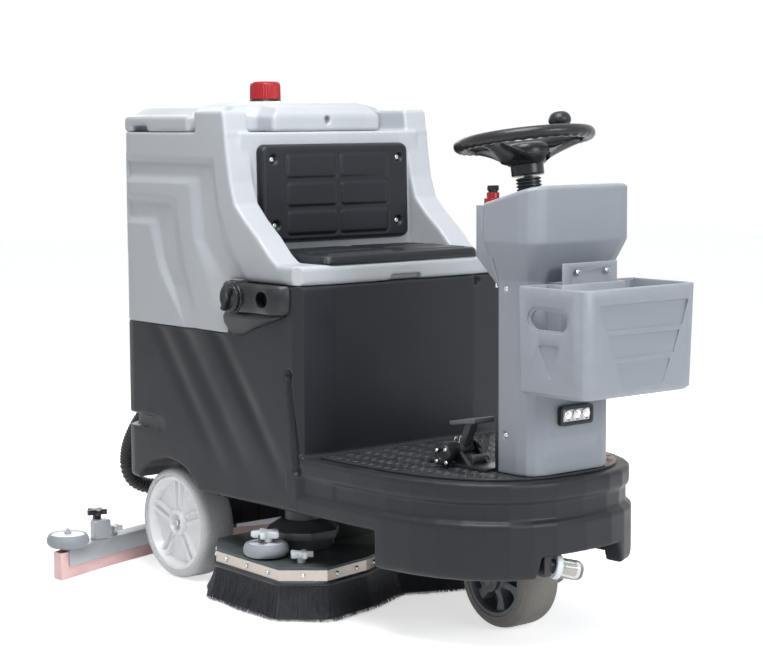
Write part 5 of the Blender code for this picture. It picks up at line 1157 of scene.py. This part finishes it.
def make_steering():
    hub = Vector(JOINTS["steering_turn"]["pos_m"])
    where = frame_on(STEER, hub)
    ring_r, tube_r, lift = 0.1545, 0.0155, 0.0545
    rows = []
    for turn in (2 * math.pi * i / 216 for i in range(216)):
        rows.append([])
        for a in (2 * math.pi * k / 20 for k in range(20)):
            r = tube_r * (1 - 0.11 * max(0.0, -math.sin(a)) * (0.5 + 0.5 * math.cos(36 * turn)))
            reach, rise = ring_r + r * math.cos(a), lift + r * math.sin(a)
            rows[-1].append(where @ Vector((reach * math.cos(turn), reach * math.sin(turn), rise)))
    neck = [(BUSH_R, -0.031), (0.038, -0.031), (0.0395, -0.028), (0.0395, -0.004), (BUSH_R, -0.004)]
    dish = [(BUSH_R, -0.007), (0.043, -0.006), (0.056, 0.008), (0.060, 0.020), (BUSH_R, 0.020)]
    parts = [skinned("rim", rows, caps=False, closed=True), turned(neck, 0.002, hub, STEER, 56),
             turned(dish, 0.004, hub, STEER, 72, corner_steps=4)]
    for degrees in (90, 192, 348):
        spin = where @ Matrix.Rotation(math.radians(degrees), 4, "Z")
        rows = []
        for t in np.linspace(0, 1, 19):
            reach = 0.034 + (ring_r - 0.034) * t
            rise = 0.006 + (lift - 0.012) * (t ** 0.85)
            half = 0.052 - 0.026 * math.sin(min(1, t * 1.1) * math.pi / 2)
            half += 0.018 * max(0, (t - 0.72) / 0.28) ** 2
            deep = 0.0085 - 0.0020 * t
            rows.append([])
            for a in np.linspace(0, 2 * math.pi, 21)[:-1]:
                over = deep * math.sin(a) * (1.0 if math.sin(a) > 0 else 1.2)
                rows[-1].append(spin @ Vector((reach, half * math.cos(a), rise + over)))
        parts.append(skinned("spoke", rows))
    cap = [(0.0, 0.0465), (0.040, 0.0455), (0.053, 0.041), (0.0565, 0.032), (0.0560, 0.012), (0.052, 0.009),
           (0.0, 0.008)]
    parts.append(turned(cap, 0.004, hub, STEER, 72, corner_steps=4))
    wheel = stand_in("steering_wheel", merged(parts), "black_plastic")
    wheel.data.set_sharp_from_angle(angle=math.radians(50))

    foot = Vector(JOINTS["spinner_spin"]["pos_m"])
    knob = [(0.0, 0.0), (0.010, 0.0), (0.0085, 0.012), (0.012, 0.021), (0.022, 0.026), (0.028, 0.036),
            (0.028, 0.045), (0.023, 0.055), (0.014, 0.0605), (0.0, 0.062)]
    stand_in("spinner_knob", turned(knob, 0.004, foot, STEER, 48, corner_steps=4), "black_plastic")

    folds = [(0.0115, 0.0)]
    for i in range(9):
        for r, h in ((0.0262, 0.0005), (0.0305, 0.0025), (0.0305, 0.0050), (0.0262, 0.0070)):
            folds.append((r, h + i * 0.008))
    boot = lathe(folds + [(0.0115, 0.0725)], hub - STEER * 0.107, STEER, 64)
    stand_in("steering_boot", boot, "black_rubber")

    heads = [screw_head((x, ahead(0.2745), 0.886), (0, -1, 0), 0.0078, 0.004) for x in (-0.048, 0.048)]
    for z in (0.500, 0.845):
        for side in (-1, 1):
            heads.append(screw_head((side * 0.1352, ahead(0.128), z), (side, 0, 0), 0.0068, 0.0030))
    piece("column_screws", merged(heads), "chassis", "bright_steel")


def make_lamps():
    low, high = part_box("headlight_lens")
    y, z, front = low.y, (low.z + high.z) / 2, (0, -1, 0)
    cup = [(0.0128, 0.0), (0.0132, 0.004), (0.0122, 0.0044), (0.0080, 0.0012), (0.0, 0.0008)]
    bulb = [(0.0075, 0.0), (0.0068, 0.003), (0.0042, 0.0050), (0.0, 0.0056)]
    places = (-0.030, 0.0, 0.030)
    cups = merged([lathe(cup, (x, y + 0.0030, z), front, 40) for x in places])
    piece("lamp_cups", cups, "chassis", "bright_steel")
    left, right, foot, head = low.x + 0.001, high.x - 0.001, low.z + 0.001, high.z - 0.001
    back = rounded_outline([(left, foot), (right, foot), (right, head), (left, head)], 0.004)
    back = extruded(back, y + 0.0015, y + 0.0040, "Y")
    stand_in("headlight_lens", back, "lamp_silver", smooth=False)
    bulbs = merged([lathe(bulb, (x, y + 0.0022, z), front, 32) for x in places])
    piece("lamp_bulbs", bulbs, "chassis", "lamp_glow")
    at, r, tall = upright("beacon_lens")

    def ribs(radius, height, turn):
        rib = 0.035 * (0.5 + 0.5 * math.cos(36 * turn))
        return radius * (1 - rib) if radius > r * 0.9 and height < tall * 0.85 else radius
    shares = ((0, 0), (1, 0), (1, 0.10), (0.99, 0.72), (0.95, 0.90), (0.80, 1), (0, 1))
    lens = turned([(a * r, b * tall) for a, b in shares], 0.002, at, UP, 216, ribs)
    stand_in("beacon_lens", lens, "red_plastic")
    refined("beacon_base", 0.0015, 3)


# ---------------------------------------------------------------- tread mat
LOZENGE = ((-0.0004, 0.0115, 0.0038), (0.0009, 0.0095, 0.0026), (0.0013, 0.0065, 0.0012))    # rise, half sides


def make_mat():
    """Slanting raised lozenges on the mat, left out where one would reach past its flat top."""
    low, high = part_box("deck_mat")
    top, pitch = high.z, 0.030
    refined("deck_mat", 0.0008, 2)
    cad = NODES["deck_mat"].data
    tree = BVHTree.FromPolygons([v.co for v in cad.vertices], [tuple(p.vertices) for p in cad.polygons])

    def flat(x, y):
        hit = tree.ray_cast(Vector((x, y, top + 0.05)), Vector((0, 0, -1)))[0]
        return hit is not None and abs(hit.z - top) <= 0.0005

    points, faces = [], []
    y, i = low.y + 0.02, 0
    while y < high.y - 0.012:
        x, k = low.x + 0.02 + (pitch / 2 if i % 2 else 0), 0
        while x < high.x - 0.012:
            if all(flat(x + dx, y + dy) for dx, dy in ((-0.013, 0), (0.013, 0), (0, -0.010), (0, 0.010))):
                turn = math.radians(42 if (i + k) % 2 else -42)
                c, s = math.cos(turn), math.sin(turn)
                base = len(points)
                for lift, a, b in LOZENGE:
                    for t in (2 * math.pi * q / 12 for q in range(12)):
                        px, py = a * math.cos(t), b * math.sin(t)
                        points.append((x + px * c - py * s, y + px * s + py * c, top + lift))
                for o in (base, base + 12):
                    for q in range(12):
                        m = (q + 1) % 12
                        faces.append((o + q, o + m, o + 12 + m, o + 12 + q))
                faces.append(tuple(base + 24 + q for q in range(12)))
            x += pitch
            k += 1
        y += pitch / 2
        i += 1
    piece("mat_tread", plain_mesh("tread", points, faces), "chassis", "mat_rubber")


# ---------------------------------------------------------------- suction hose
HOSE_R = 0.0235
HOSE_ROUTE = [(x, ahead(station), z) for x, station, z in (
    (-0.150, -1.236, 0.455), (-0.150, -1.262, 0.453), (-0.152, -1.300, 0.438), (-0.158, -1.345, 0.402),
    (-0.166, -1.390, 0.350), (-0.170, -1.425, 0.290), (-0.166, -1.440, 0.235), (-0.150, -1.442, 0.195),
    (-0.120, -1.436, 0.172), (-0.085, -1.424, 0.164), (-0.052, -1.404, 0.166), (-0.022, -1.378, 0.170),
    (-0.004, -1.356, 0.164), (0.0, -1.345, 0.146), (0.0, -1.343, 0.1303))]


def smooth_route(points, spacing):
    """Points at an even spacing on a smooth curve through the route's own points."""
    places = [Vector(p) for p in points]
    padded = [places[0] * 2 - places[1]] + places + [places[-1] * 2 - places[-2]]
    fine = []
    for i in range(1, len(padded) - 2):
        a, b, c, d = padded[i - 1:i + 3]
        square, cube = 2 * a - 5 * b + 4 * c - d, 3 * b - a - 3 * c + d
        for t in (j / 40 for j in range(40)):
            fine.append(0.5 * (2 * b + (c - a) * t + square * t ** 2 + cube * t ** 3))
    fine.append(places[-1])
    even, travelled = [fine[0]], 0.0
    for first, second in zip(fine, fine[1:]):
        travelled += (second - first).length
        if travelled >= spacing:
            even.append(second)
            travelled = 0.0
    return even + [fine[-1]]


def make_hose():
    spacing = 0.0013
    path = smooth_route(HOSE_ROUTE, spacing)

    def ripple(i):
        return HOSE_R - 0.0028 * (0.5 - 0.5 * math.cos(2 * math.pi * i * spacing / 0.0078)) ** 0.7
    hose = piece("suction_hose_fine", tube(path, HOSE_R, 36, False, ripple), None, "black_rubber")
    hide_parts("suction_hose")
    route = smooth_route(HOSE_ROUTE, 0.012)
    return hose


# ---------------------------------------------------------------- filter
def make_filter():
    joint = JOINTS["filter_bowl_turn"]
    at, axis = joint["pos_m"], joint["axis"]
    bowl = [(0.0, 0.070), (0.018, 0.0695), (0.0225, 0.064), (0.024, 0.058), (0.024, 0.014), (0.0215, 0.014),
            (0.0215, 0.060), (0.0, 0.064)]
    stand_in("filter_bowl", turned(bowl, 0.0015, at, axis, 56), "clear_plastic")

    def knurl(r, h, turn):
        return r + (0.0011 if r > 0.026 and int(turn / (2 * math.pi) * 48) % 2 else 0.0)
    collar = [(0.0, 0.0), (0.0275, 0.0), (0.0280, 0.003), (0.0280, 0.012), (0.0265, 0.0145), (0.0, 0.0145)]
    collar = turned(collar, 0.0008, at, axis, 96, knurl)
    piece("filter_collar", collar, "bowl", "white_plastic")
    core = lathe([(0.0, 0.0148), (0.0150, 0.0148), (0.0150, 0.055), (0.0, 0.055)], at, axis, 32)
    piece("filter_mesh_core", core, "bowl", "filter_mesh")


def remaining():
    """Every CAD node that still shows gets rounded edges and its finish."""
    for node, obj in NODES.items():
        if not obj.hide_render:
            refined(node, 0.0009, 2)


make_camera()
make_world()
make_floor()
make_light()
hose = make_hose()
make_mouldings()
make_wheels()
make_brush_deck()
make_guard()
make_squeegee()
make_pads()
make_steering()
make_lamps()
make_mat()
make_filter()
remaining()
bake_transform(hose, "chassis", "squeegee", start=(-0.15, ahead(-1.30), 0.44), end=(0.0, ahead(-1.345), 0.15))
